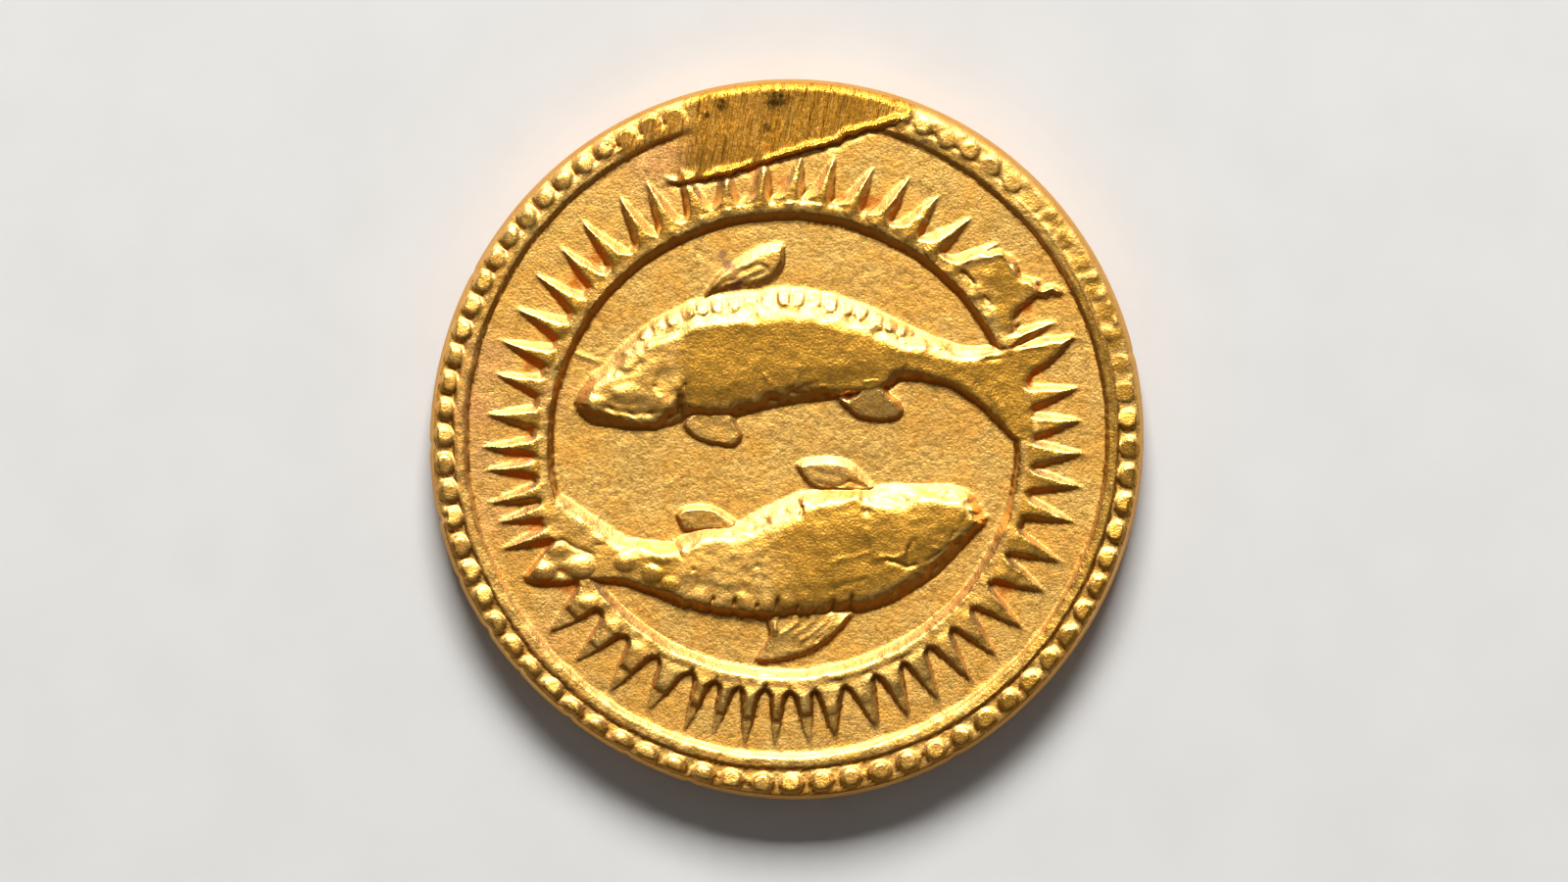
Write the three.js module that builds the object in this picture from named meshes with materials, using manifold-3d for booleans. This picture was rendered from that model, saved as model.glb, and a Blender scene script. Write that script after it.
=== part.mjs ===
// A gold coin struck between two dies: two fish inside a ring of rays, a raised line and a border
// of beads. It is one solid of gold. Millimetres; it lies on its plainer side, on z = 0.
import * as THREE from 'three';
import { mergeVertices } from 'three/addons/utils/BufferGeometryUtils.js';
import Module from 'manifold-3d';

// ---- Driving dimensions ----

const FLAN_RADIUS = 10.5;
const FLAN_SEGMENTS = 72;

// Heights above the surface that the coin lies on.
const LEVEL = {
  underField: 0.1,
  innerField: 1.58,
  field: 1.66,
  line: 1.82,
  rayRing: 1.9,
  bead: 1.89,
  scaleTop: 1.98,
  fin: 1.8,
  tail: 1.93,
  fish: 2.06,
  rayRidge: 1.92,
  wornPatch: 1.91,
  buried: 1.2,
};

// The turned form as [radius, height], from the middle of the plainer side round to the fish side.
const FLAN_PROFILE = [
  [0, LEVEL.underField],
  [9.2, LEVEL.underField],
  [9.35, 0],
  [10.05, 0],
  [10.36, 0.18],
  [FLAN_RADIUS, 0.55],
  [FLAN_RADIUS, 1.2],
  [10.42, LEVEL.field],
  [9.7, LEVEL.field],
  [9.65, LEVEL.line],
  [9.5, LEVEL.line],
  [9.38, LEVEL.field],
  [7.42, LEVEL.field],
  [7.28, LEVEL.rayRing],
  [7.0, LEVEL.rayRing],
  [6.7, LEVEL.innerField],
  [0, LEVEL.innerField],
];
const UPPER_HALF = 1;

// The die sat a little off the flan's middle, and each ring has a centre of its own.
const RAY_CENTRE = new THREE.Vector2(-0.11, -0.22);
const LINE_CENTRE = new THREE.Vector2(-0.05, 0.07);
const BEAD_CENTRE = new THREE.Vector2(-0.02, -0.1);
const DIE_ZONE = { rays: 7.6, line: 9.3, lineOut: 9.68, flan: 10.1 };

// The flan's edge is not quite round: [waves around it, height of the wave, angle of a crest].
const EDGE_WAVES = [
  [2, 0.05, 85],
  [3, 0.04, 53],
  [4, 0.03, 14],
  [5, 0.018, -12],
];

// Border of beads. They spread a little towards one side of the border.
const BEAD = {
  count: 78,
  circle: 10.05,
  radius: 0.35,
  sides: 7,
  widestAt: 280.7,
  spread: 0.08,
};

// Rays, in arcs of even spacing: [first angle, last angle, rays, lean of the tips].
const RAY_ARCS = [
  [11.2, -14.5, 5, 0],
  [-23, -79.3, 9, 0],
  [-85.4, -109.3, 5, 0],
  [-116.6, -141.7, 4, 0],
  [-159.1, -180, 5, 0],
  [173.7, 110.2, 10, 0],
  [103.3, 45.7, 9, -2],
  [38.5, 25, 3, 0],
];
const RAY = { foot: 7.1, tip: 8.9, halfWidth: 0.4, tipLift: 0.03 };

// Bodies of the fish. Each row is one rib across the body, from the snout to the root of the tail:
// a point on the edge that carries the scales, then its partner on the other edge.
const UPPER_FISH = {
  ribs: [
    [-6.24, 1.16, -6.15, 0.79],
    [-5.98, 1.53, -5.84, 0.5],
    [-5.46, 2.16, -5.01, 0.33],
    [-4.78, 2.79, -3.97, 0.24],
    [-3.86, 3.56, -3.0, 0.41],
    [-2.51, 4.22, -1.94, 0.5],
    [-0.94, 4.31, -0.65, 0.81],
    [0.78, 4.42, 0.64, 1.07],
    [2.22, 4.02, 1.87, 1.19],
    [3.5, 3.48, 3.13, 1.62],
    [4.51, 2.88, 4.08, 1.73],
    [5.51, 2.71, 4.94, 1.47],
  ],
  scales: { from: 0.27, to: 0.84, count: 15, inset: 0.2, radius: 0.23 },
  tail: [
    [4.7, 2.75], [6.66, 2.73], [7.32, 3.06], [8.09, 3.14], [8.4, 2.91], [7.89, 2.25], [7.14, 1.62],
    [7.02, 1.2], [7.3, 0.3], [7.2, -0.25], [6.8, -0.22], [5.9, 0.55], [5.3, 1.15], [4.6, 1.65],
  ],
  fins: [
    // back fin
    [[-2.46, 4.1], [-1.94, 4.97], [-1.17, 5.6], [-0.16, 5.69], [-0.11, 5.06], [-0.59, 4.51], [-1.4, 4.1]],
    // breast fin
    [[-3.0, 0.55], [-2.85, 0.16], [-2.2, -0.2], [-1.7, -0.28], [-1.33, 0.05], [-1.55, 0.42], [-2.2, 0.6]],
    // belly fin
    [[1.58, 1.3], [1.72, 0.94], [2.36, 0.53], [3.0, 0.5], [3.42, 0.8], [3.02, 1.27], [2.4, 1.5]],
  ],
};

const LOWER_FISH = {
  ribs: [
    [5.85, -2.4, 5.8, -2.05],
    [5.63, -2.77, 5.57, -1.68],
    [5.08, -3.4, 5.02, -1.39],
    [4.36, -4.09, 4.08, -1.34],
    [3.42, -4.66, 2.93, -1.34],
    [2.22, -5.06, 1.64, -1.45],
    [0.64, -5.26, 0.35, -1.62],
    [-0.94, -5.38, -0.94, -2.11],
    [-2.31, -5.26, -2.23, -2.54],
    [-3.37, -4.89, -3.23, -2.88],
    [-4.38, -4.43, -4.23, -3.0],
  ],
  scales: { from: 0.5, to: 0.97, count: 11, inset: 0.24, radius: 0.25 },
  tail: [
    [-3.6, -3.1], [-4.95, -2.71], [-6.1, -1.97], [-7.16, -1.45], [-7.27, -1.65], [-7.21, -2.54],
    [-6.98, -3.0], [-7.38, -3.57], [-7.88, -4.08], [-7.76, -4.36], [-6.96, -4.41], [-5.67, -4.28],
    [-4.81, -4.3], [-3.8, -4.4],
  ],
  fins: [
    // breast fin
    [[0.17, -0.85], [0.5, -0.54], [1.35, -0.52], [2.07, -0.79], [2.6, -1.45], [1.5, -1.6], [0.5, -1.4]],
    // belly fin
    [[-3.29, -2.4], [-3.1, -1.98], [-2.5, -1.88], [-1.75, -2.15], [-1.5, -2.5], [-2.3, -2.7], [-3.1, -2.72]],
    // back fin
    [[-0.51, -5.2], [-0.62, -5.95], [-0.86, -6.55], [0.2, -6.5], [1.2, -6.1], [1.82, -5.2], [0.6, -5.0]],
  ],
};

const BODY = { sides: 12, steps: 22, scaleSides: 6, roundness: 0.4, snoutRise: 0.12, tailDrop: 0.25 };
const EDGE_SLOPE = { tail: 0.1, fin: 0.08, patch: 0.06, filed: 0.1 };

// Where a hanging loop once sat, its stump is filed down to a slope that ends in a ragged lip.
const FILED = {
  lip: [[-3.6, 7.52], [-2.2, 7.69], [-1.17, 7.92], [0.01, 8.21], [1.47, 8.75], [2.65, 9.15], [3.59, 9.41]],
  fillLeft: -2.6,
  cutLeft: -4.9,
  outside: 12,
  outsideRight: 4.6,
  heightAtLip: 1.84,
  lipY: 7.6,
  fallPerMm: 0.045,
  lipSize: 0.11,
};

// A smear of flattened metal over the ring and the roots of the rays.
const WORN_PATCH = [
  [4.82, 5.15], [5.65, 5.44], [6.5, 5.28], [6.86, 4.75], [7.5, 4.36], [8.0, 4.14], [7.1, 3.95],
  [6.75, 3.6], [6.7, 3.1], [6.35, 2.75], [5.9, 3.55], [5.45, 4.3],
];

const GOLD = new THREE.MeshStandardMaterial({ color: 0xd9a441, metalness: 1, roughness: 0.38 });

// ---- Solids from geometry ----

const wasm = await Module();
wasm.setup();

const rad = THREE.MathUtils.degToRad;
const polar = (radius, degrees, centre) =>
  new THREE.Vector2(Math.cos(rad(degrees)), Math.sin(rad(degrees))).multiplyScalar(radius).add(centre);
const vector = ([x, y]) => new THREE.Vector2(x, y);

// The closed geometry with its shared corners joined, as a solid that can be added and cut.
function solid(geometry) {
  const bare = geometry.clone();
  bare.deleteAttribute('normal');
  bare.deleteAttribute('uv');
  const merged = mergeVertices(bare, 1e-4);
  const triangles = [];
  const index = merged.index.array;
  for (let i = 0; i < index.length; i += 3) {
    const [a, b, c] = index.slice(i, i + 3);
    if (a !== b && b !== c && c !== a) triangles.push(a, b, c);
  }
  return new wasm.Manifold(new wasm.Mesh({
    numProp: 3,
    vertProperties: merged.attributes.position.array,
    triVerts: new Uint32Array(triangles),
  }));
}

function geometryOf(manifold) {
  const { vertProperties, triVerts } = manifold.getMesh();
  const geometry = new THREE.BufferGeometry();
  geometry.setAttribute('position', new THREE.BufferAttribute(vertProperties, 3));
  geometry.setIndex(new THREE.BufferAttribute(triVerts, 1));
  geometry.computeVertexNormals();
  return geometry;
}

// Moves every corner of a geometry to where the given function sends it.
function reshape(geometry, move) {
  const position = geometry.attributes.position;
  const corner = new THREE.Vector3();
  for (let i = 0; i < position.count; i += 1) {
    corner.fromBufferAttribute(position, i);
    move(corner);
    position.setXYZ(i, corner.x, corner.y, corner.z);
  }
  return geometry;
}

// An outline raised to a height, with its upper edge sloping inwards.
function raised(shape, top, slope) {
  const geometry = new THREE.ExtrudeGeometry(shape, {
    depth: top - LEVEL.buried - 2 * slope,
    curveSegments: 4,
    bevelThickness: slope,
    bevelSize: slope,
    bevelOffset: -slope,
    bevelSegments: 1,
  });
  return solid(geometry.translate(0, 0, LEVEL.buried + slope));
}

function smoothShape(points) {
  const curve = new THREE.CatmullRomCurve3(
    points.map(([x, y]) => new THREE.Vector3(x, y, 0)), true);
  return new THREE.Shape(curve.getPoints(points.length * 2).slice(0, -1).map(({ x, y }) => vector([x, y])));
}

// ---- Flan with its turned rings ----

// How far the die's centre is from the flan's at a given radius.
function dieOffset(radius) {
  const smooth = THREE.MathUtils.smoothstep;
  const offset = RAY_CENTRE.clone().lerp(LINE_CENTRE, smooth(radius, DIE_ZONE.rays, DIE_ZONE.line));
  return offset.multiplyScalar(1 - smooth(radius, DIE_ZONE.lineOut, DIE_ZONE.flan));
}

function edgeWave(angle) {
  const wave = ([waves, height, crest]) => height * Math.cos(waves * (angle - rad(crest)));
  return EDGE_WAVES.map(wave).reduce((sum, value) => sum + value);
}

function makeFlan() {
  const turned = new THREE.LatheGeometry(FLAN_PROFILE.map(vector), FLAN_SEGMENTS);
  turned.rotateX(Math.PI / 2);
  const waveStart = DIE_ZONE.lineOut;
  return solid(reshape(turned, (corner) => {
    const radius = Math.hypot(corner.x, corner.y);
    const angle = Math.atan2(corner.y, corner.x);
    const wave = edgeWave(angle) * Math.max(0, radius - waveStart) / (FLAN_RADIUS - waveStart);
    const shift = corner.z > UPPER_HALF ? dieOffset(radius) : new THREE.Vector2();
    corner.x += wave * Math.cos(angle) + shift.x;
    corner.y += wave * Math.sin(angle) + shift.y;
  }));
}

// ---- Beads, scales and rays ----

function makeDome(place, radius, top, foot, sides) {
  const height = top - foot;
  const profile = [
    [0, foot - 0.3 * height],
    [radius, foot - 0.3 * height],
    [0.7 * radius, foot + 0.8 * height],
    [0, top],
  ];
  const dome = new THREE.LatheGeometry(profile.map(vector), sides);
  return solid(dome.rotateX(Math.PI / 2).translate(place.x, place.y, 0));
}

function makeBeads() {
  const step = 360 / BEAD.count;
  return Array.from({ length: BEAD.count }, (_, i) => {
    const even = i * step;
    const angle = BEAD.widestAt + even + THREE.MathUtils.radToDeg(BEAD.spread * Math.sin(rad(even)));
    return makeDome(polar(BEAD.circle, angle, BEAD_CENTRE), BEAD.radius, LEVEL.bead, LEVEL.field, BEAD.sides);
  });
}

// A spike with a sharp ridge: half of a long four-sided cone that lies on the field.
function makeRay(angle, lean) {
  const foot = polar(RAY.foot, angle, RAY_CENTRE);
  const tip = polar(RAY.tip, angle + lean, RAY_CENTRE);
  const run = tip.clone().sub(foot);
  const spike = new THREE.ConeGeometry(1, run.length(), 4);
  spike.scale(RAY.halfWidth, 1, LEVEL.rayRidge - LEVEL.field);
  spike.translate(0, run.length() / 2, 0);
  spike.rotateZ(run.angle() - Math.PI / 2);
  return solid(spike.translate(foot.x, foot.y, LEVEL.field + RAY.tipLift));
}

function makeRays() {
  return RAY_ARCS.flatMap(([first, last, count, lean]) => {
    const step = (last - first) / (count - 1);
    return Array.from({ length: count }, (_, i) => makeRay(first + i * step, lean));
  });
}

// ---- Fish ----

function edgeCurve(ribs, side) {
  return new THREE.CatmullRomCurve3(ribs.map((rib) => new THREE.Vector3(rib[side], rib[side + 1], 0)));
}

// A body that swells from a steep flank to a worn, nearly flat side; t runs from snout to tail.
function makeBody(fish) {
  const scaled = edgeCurve(fish.ribs, 0);
  const plain = edgeCurve(fish.ribs, 2);
  const tube = new THREE.CylinderGeometry(1, 1, 1, BODY.sides, BODY.steps);
  return solid(reshape(tube, (corner) => {
    const t = THREE.MathUtils.clamp(0.5 - corner.y, 0, 1);
    const across = corner.x;
    const up = corner.z;
    const place = plain.getPoint(t).lerp(scaled.getPoint(t), (1 + across) / 2);
    const rise = Math.pow(Math.min(1, t / BODY.snoutRise + 0.2), 0.5) * (1 - BODY.tailDrop * t * t);
    const height = (LEVEL.fish - LEVEL.innerField) * rise * Math.pow(Math.max(0, up), BODY.roundness);
    const depth = (LEVEL.innerField - LEVEL.buried) * Math.max(0, -up);
    corner.set(place.x, place.y, LEVEL.innerField + height - depth);
  }));
}

function makeScales(fish) {
  const { from, to, count, inset, radius } = fish.scales;
  const scaled = edgeCurve(fish.ribs, 0);
  const plain = edgeCurve(fish.ribs, 2);
  return Array.from({ length: count }, (_, i) => {
    const t = THREE.MathUtils.lerp(from, to, i / (count - 1));
    const edge = scaled.getPoint(t);
    const inward = plain.getPoint(t).sub(edge).setLength(inset);
    return makeDome(edge.add(inward), radius, LEVEL.scaleTop, LEVEL.innerField + 0.02, BODY.scaleSides);
  });
}

function makeFish(fish) {
  return [
    makeBody(fish),
    raised(smoothShape(fish.tail), LEVEL.tail, EDGE_SLOPE.tail),
    ...fish.fins.map((fin) => raised(smoothShape(fin), LEVEL.fin, EDGE_SLOPE.fin)),
    ...makeScales(fish),
  ];
}

// ---- Damage: the filed stump and the worn patch ----

// A block over part of the filed area, either everything under its slope or everything above it.
function makeFiledBlock(left, side) {
  const { lip, lipSize, outside, outsideRight, heightAtLip, lipY, fallPerMm } = FILED;
  const inside = lip.filter(([x]) => x > left);
  const outline = [[left, lip[0][1] + lipSize], ...inside, [outsideRight, outside], [left, outside]];
  const shape = new THREE.Shape(outline.map(vector));
  const block = new THREE.ExtrudeGeometry(shape, { depth: 1, bevelEnabled: false });
  const far = side === 'under' ? LEVEL.buried : LEVEL.fish + 1;
  const onSlope = side === 'under' ? 1 : 0;
  return solid(reshape(block, (corner) => {
    const slope = heightAtLip - fallPerMm * (corner.y - lipY);
    corner.z = Math.round(corner.z) === onSlope ? slope : far;
  }));
}

function makeLip() {
  const { lip, lipSize, heightAtLip, lipY, fallPerMm } = FILED;
  const path = new THREE.CatmullRomCurve3(
    lip.map(([x, y]) => new THREE.Vector3(x, y, heightAtLip - fallPerMm * (y - lipY))));
  const section = new THREE.Shape([[lipSize, 0], [0, lipSize], [-lipSize, 0], [0, -lipSize]].map(vector));
  return solid(new THREE.ExtrudeGeometry(section, { steps: 14, extrudePath: path, bevelEnabled: false }));
}

// ---- The coin ----

function makeCoin() {
  const struck = [
    makeFlan(),
    ...makeBeads(),
    ...makeRays(),
    raised(smoothShape(WORN_PATCH), LEVEL.wornPatch, EDGE_SLOPE.patch),
    ...makeFish(UPPER_FISH),
    ...makeFish(LOWER_FISH),
  ].reduce((whole, piece) => whole.add(piece));
  const fillRadius = FLAN_RADIUS - EDGE_SLOPE.filed;
  const disc = new THREE.CylinderGeometry(fillRadius, fillRadius, LEVEL.fish, FLAN_SEGMENTS);
  const rim = solid(disc.rotateX(Math.PI / 2).translate(0, 0, LEVEL.buried + LEVEL.fish / 2));
  const filled = struck.add(makeFiledBlock(FILED.fillLeft, 'under').intersect(rim));
  return filled.subtract(makeFiledBlock(FILED.cutLeft, 'above')).add(makeLip());
}

const geometry = geometryOf(makeCoin());
geometry.computeBoundingBox();
const middle = geometry.boundingBox.getCenter(new THREE.Vector3());
geometry.translate(-middle.x, -middle.y, 0);

const coin = new THREE.Mesh(geometry, GOLD);
coin.name = 'coin';

const part = new THREE.Group();
part.add(coin);

export default part;
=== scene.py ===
"""A struck gold coin: two fish in a ring of rays, a raised line and a border of beads.

The coin is one mesh, struck as a relief over its blank, with a material that follows its wear and dirt, and
with painted highlight and painted shade where its slopes face towards or away from the key light.
"""

import math
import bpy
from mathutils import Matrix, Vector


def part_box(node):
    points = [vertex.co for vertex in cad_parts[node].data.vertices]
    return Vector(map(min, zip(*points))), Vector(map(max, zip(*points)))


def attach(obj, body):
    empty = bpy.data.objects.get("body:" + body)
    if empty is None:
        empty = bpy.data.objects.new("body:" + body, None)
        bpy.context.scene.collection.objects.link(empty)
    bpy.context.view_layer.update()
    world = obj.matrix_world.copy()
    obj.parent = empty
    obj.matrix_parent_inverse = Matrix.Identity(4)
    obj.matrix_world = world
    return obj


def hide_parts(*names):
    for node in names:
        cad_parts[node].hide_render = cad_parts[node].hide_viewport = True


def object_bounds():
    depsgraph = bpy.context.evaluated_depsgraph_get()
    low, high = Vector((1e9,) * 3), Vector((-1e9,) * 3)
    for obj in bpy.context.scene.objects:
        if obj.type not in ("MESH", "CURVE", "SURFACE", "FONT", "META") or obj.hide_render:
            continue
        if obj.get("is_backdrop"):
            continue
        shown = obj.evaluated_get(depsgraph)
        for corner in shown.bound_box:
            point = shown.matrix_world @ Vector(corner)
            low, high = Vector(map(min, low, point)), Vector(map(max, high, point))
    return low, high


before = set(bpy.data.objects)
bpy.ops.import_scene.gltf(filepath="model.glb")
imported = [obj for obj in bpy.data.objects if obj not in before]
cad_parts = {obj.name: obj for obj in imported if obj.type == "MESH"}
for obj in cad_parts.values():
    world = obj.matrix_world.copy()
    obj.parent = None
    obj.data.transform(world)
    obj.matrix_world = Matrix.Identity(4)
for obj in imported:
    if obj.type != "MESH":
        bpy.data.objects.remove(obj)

from types import SimpleNamespace

import bmesh
import bpy
import numpy as np
from bpy.props import FloatProperty, FloatVectorProperty, IntProperty, PointerProperty
from mathutils import Matrix, Vector

bl_info = {
    "name": "Struck Gold Coin",
    "version": (1, 0, 0),
    "blender": (4, 5, 0),
    "location": "3D View > Sidebar > Coin",
    "description": "Strikes a worn gold coin with two fish and sets it on a studio stage",
    "category": "Add Mesh",
}

CAD_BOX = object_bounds()
COIN_LOW, COIN_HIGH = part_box("coin")
MM = 0.001


# ---- Small mathematics ----


def smooth_step(low, high, value):
    t = np.clip((value - low) / (high - low), 0, 1)
    return t * t * (3 - 2 * t)


def mix(a, b, amount):
    return a + (b - a) * amount


def bump(distance, width):
    return np.exp(-((distance / width) ** 2))


def away(x, y, centre):
    return np.hypot(x - centre[0], y - centre[1])


def polar(radius, degrees, centre=(0, 0)):
    angle = math.radians(degrees)
    return np.array([centre[0] + radius * math.cos(angle), centre[1] + radius * math.sin(angle)])


def angle_between(angles, degrees):
    """Size of the turn between each angle in radians and one direction in degrees, in degrees."""
    return np.abs((np.degrees(angles) - degrees + 180) % 360 - 180)


class Grain:
    """Smooth values between -1 and 1 over the plane, the same each time for one seed."""

    CELLS = 128

    def __init__(self, seed):
        self.table = np.random.default_rng(seed).uniform(-1, 1, (self.CELLS, self.CELLS))
        self.cos, self.sin = polar(1, 37 * seed)

    def at(self, x, y, scale):
        u, v = (self.cos * x + self.sin * y) / scale, (self.cos * y - self.sin * x) / scale
        column, row = np.floor(u).astype(int), np.floor(v).astype(int)
        s, t = smooth_step(0, 1, u - column), smooth_step(0, 1, v - row)
        corner = lambda i, j: self.table[(row + j) % self.CELLS, (column + i) % self.CELLS]
        return mix(mix(corner(0, 0), corner(1, 0), s), mix(corner(0, 1), corner(1, 1), s), t)

    def layered(self, x, y, scale, layers=3):
        """Coarse and fine values together, each layer half as wide and half as strong as the one before."""
        return sum(self.at(x + 7.3 * k, y - 3.1 * k, scale / 2**k) / 2**k for k in range(layers))


def curve_through(points, steps, closed=False):
    """A smooth curve through points, with a number of steps between neighbours."""
    points = np.array(points, float)
    round_it = np.pad(points, ((1, 2 if closed else 1), (0, 0)), "wrap" if closed else "edge")
    curve = [b + 0.5 * t * (c - a + t * (2 * a - 5 * b + 4 * c - d + t * (3 * (b - c) + d - a)))
             for a, b, c, d in zip(round_it, round_it[1:], round_it[2:], round_it[3:])
             for t in np.arange(steps) / steps]
    return np.array(curve if closed else [*curve, points[-1]])


def paced(line, count):
    """Places spaced evenly along a line, and the way to the right of the line at each."""
    run = np.concatenate([[0], np.cumsum(np.hypot(*np.diff(line[:, :2], axis=0).T))])
    places = np.column_stack([np.interp(np.linspace(0, run[-1], count), run, column) for column in line.T])
    ahead = np.gradient(places[:, :2], axis=0)
    ahead = ahead / np.hypot(*ahead.T)[:, None]
    return places, np.column_stack([ahead[:, 1], -ahead[:, 0]])


def line_distance(line, x, y, reach):
    """Distance from a line, no more than reach, and the line's last value at the nearest point."""
    distance, held = np.full(x.shape, float(reach)), np.zeros(x.shape)
    low, high = line[:, :2].min(0) - reach, line[:, :2].max(0) + reach
    near = np.flatnonzero((x > low[0]) & (x < high[0]) & (y > low[1]) & (y < high[1]))
    near = near[np.argsort(x[near])]
    px, py = x[near], y[near]
    best, value = np.full(px.shape, float(reach) ** 2), np.zeros(px.shape)
    for a, b in zip(line[:-1], line[1:]):
        start, end = np.searchsorted(px, [min(a[0], b[0]) - reach, max(a[0], b[0]) + reach])
        dx, dy = b[:2] - a[:2]
        qx, qy = px[start:end] - a[0], py[start:end] - a[1]
        t = np.clip((qx * dx + qy * dy) / (dx * dx + dy * dy), 0, 1)
        square = (qx - t * dx) ** 2 + (qy - t * dy) ** 2
        nearer = square < best[start:end]
        best[start:end][nearer] = square[nearer]
        value[start:end][nearer] = mix(a[-1], b[-1], t)[nearer]
    distance[near], held[near] = np.sqrt(best), value
    return distance, held


def is_inside(outline, x, y):
    inside = np.zeros(x.shape, bool)
    low, high = outline.min(0), outline.max(0)
    near = (x > low[0]) & (x < high[0]) & (y > low[1]) & (y < high[1])
    px, py = x[near], y[near]
    odd = np.zeros(px.shape, bool)
    for (ax, ay), (bx, by) in zip(outline, np.roll(outline, -1, axis=0)):
        if ay != by:
            odd ^= ((ay > py) != (by > py)) & (px < ax + (py - ay) * (bx - ax) / (by - ay))
    inside[near] = odd
    return inside


def depth_inside(outline, x, y):
    """Distance inside a closed outline, negative outside, and its last value at the nearest point."""
    distance, held = line_distance(np.vstack([outline, outline[:1]]), x, y, 1.0)
    return np.where(is_inside(outline[:, :2], x, y), distance, -distance), held


def climb(outline, x, y):
    """How far up a raised shape's slope each place is, from 0 at its foot to 1, and its depth inside."""
    depth, width = depth_inside(outline, x, y)
    return depth / np.maximum(width, 0.05), depth


def slope_up(share, softness=0.1):
    """Height of a slope with a rounded shoulder: it goes on down below its foot, and is flat past its top."""
    turn = np.clip((share - 1 + softness) / (2 * softness), 0, 1)
    return np.minimum(share, 1 - softness) + 2 * softness * (turn - turn**2 / 2)


# ---- The design, in millimetres from the middle of the flan, in the way the fish are looked at ----

WARPS = Grain(1), Grain(2)
GRAIN, FLECKS, SPECKS = Grain(3), Grain(4), Grain(5)

RAY_CENTRE = (-0.11, -0.22)
LINE_CENTRE = (-0.05, 0.07)
BEAD_CENTRE = (-0.02, -0.1)
BEAD_GROUND = 0.05

# The ring's inner foot, middle and outer shoulder, and the raised line's inner foot, middle and outer foot.
RING_FOOT, RING_MIDDLE, RING_TOP = 6.55, 6.9, 7.0
LINE_FOOT, LINE_MIDDLE, LINE_END = 9.3, 9.6, 9.8

# Direction in degrees of the side of the border that is rubbed most.
RUBBED_SIDE = -10

# The flan's uneven edge: waves around it, height of a wave, angle of a crest in degrees.
EDGE_WAVES = [(2, 0.05, 85), (3, 0.04, 53), (4, 0.03, 14), (5, 0.018, -12)]

# Nicks in the edge: angle in degrees, depth, half width in degrees.
EDGE_NICKS = [
    (181, 0.05, 0.5), (193, 0.07, 0.6), (203, 0.04, 0.5), (212.5, 0.06, 0.7), (221, 0.04, 0.4),
    (232, 0.06, 0.5), (243, 0.05, 0.5), (254, 0.04, 0.6), (-62, 0.04, 0.8), (14, 0.03, 0.6), (152, 0.03, 0.6),
]

# The struck face ends this far inside the edge, no higher than this.
STRUCK_GAP = 0.13
EDGE_HEIGHT = 1.74

# The beads stand widest apart at this angle in degrees, and the spacing swings by this share of a turn.
BEADS_WIDEST_AT = 280.7
BEAD_SPREAD = 0.08

# Rays in arcs of even spacing: first angle, last angle, rays, lean of the tips in degrees, radius of the
# tips, half the width of a foot, how steep the sides are, and how far the outer half steps down.
RAY_ARCS = [
    (11.2, -14.5, 5, 0, 8.8, 0.44, 1, 0), (-23, -79.3, 9, 0, 8.75, 0.44, 1.4, 0.03),
    (-85.4, -109.3, 5, 0, 8.75, 0.28, 2.2, 0.1), (-116.6, -141.7, 4, 0, 8.75, 0.46, 1.8, 0.08),
    (-159.1, -180, 5, 0, 8.75, 0.36, 1.1, 0), (173.7, 110.2, 10, 0, 8.75, 0.42, 0.95, 0),
    (103.3, 45.7, 9, -2, 8.6, 0.42, 0.8, 0.03), (38.5, 25, 3, 0, 8.6, 0.36, 1, 0),
]

# Raised shapes are outlines of places and the width of the slope there: x, y, width.
UPPER_FISH = curve_through([
    (-6.05, 1.45, 0.34), (-5.75, 1.88, 0.4), (-5.4, 2.12, 0.45), (-5.1, 2.42, 0.5), (-4.88, 2.72, 0.54),
    (-4.15, 3.33, 0.6), (-3.7, 3.6, 0.66), (-2.7, 4.07, 0.76), (-1.5, 4.27, 0.82), (-1, 4.3, 0.84),
    (0, 4.45, 0.84), (1.2, 4.25, 0.8), (2.4, 3.87, 0.72), (3.6, 3.28, 0.6), (4.8, 2.8, 0.44),
    (5.4, 2.72, 0.36), (5.9, 2.76, 0.28), (6.4, 2.76, 0.2), (6.8, 2.84, 0.22), (7.3, 3.02, 0.28),
    (8.2, 3.1, 0.22), (8.42, 2.95, 0.12), (8.3, 2.75, 0.15), (7.95, 2.3, 0.2), (7.6, 1.98, 0.22),
    (7.25, 1.78, 0.2), (7.08, 1.45, 0.15), (7.1, 1.1, 0.1), (7.25, 0.8, 0.1), (7.32, -0.05, 0.15),
    (6.85, -0.22, 0.14), (6, 0.5, 0.12), (5.6, 0.92, 0.12), (4.8, 1.45, 0.15), (3.7, 1.66, 0.28),
    (3.25, 1.62, 0.3), (2.95, 1.4, 0.2), (2.6, 1.28, 0.2), (1.6, 1.18, 0.22), (1, 1.08, 0.4),
    (0.4, 1.02, 0.5), (-0.8, 0.8, 0.46), (-1.8, 0.5, 0.42), (-2.4, 0.5, 0.44), (-2.8, 0.48, 0.5),
    (-3.05, 0.44, 0.95), (-3.3, 0.4, 0.5), (-4.1, 0.25, 0.25), (-5.3, 0.35, 0.38), (-5.8, 0.45, 0.34),
    (-6.12, 0.72, 0.3), (-6.22, 1.05, 0.28),
], 4, closed=True)

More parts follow.
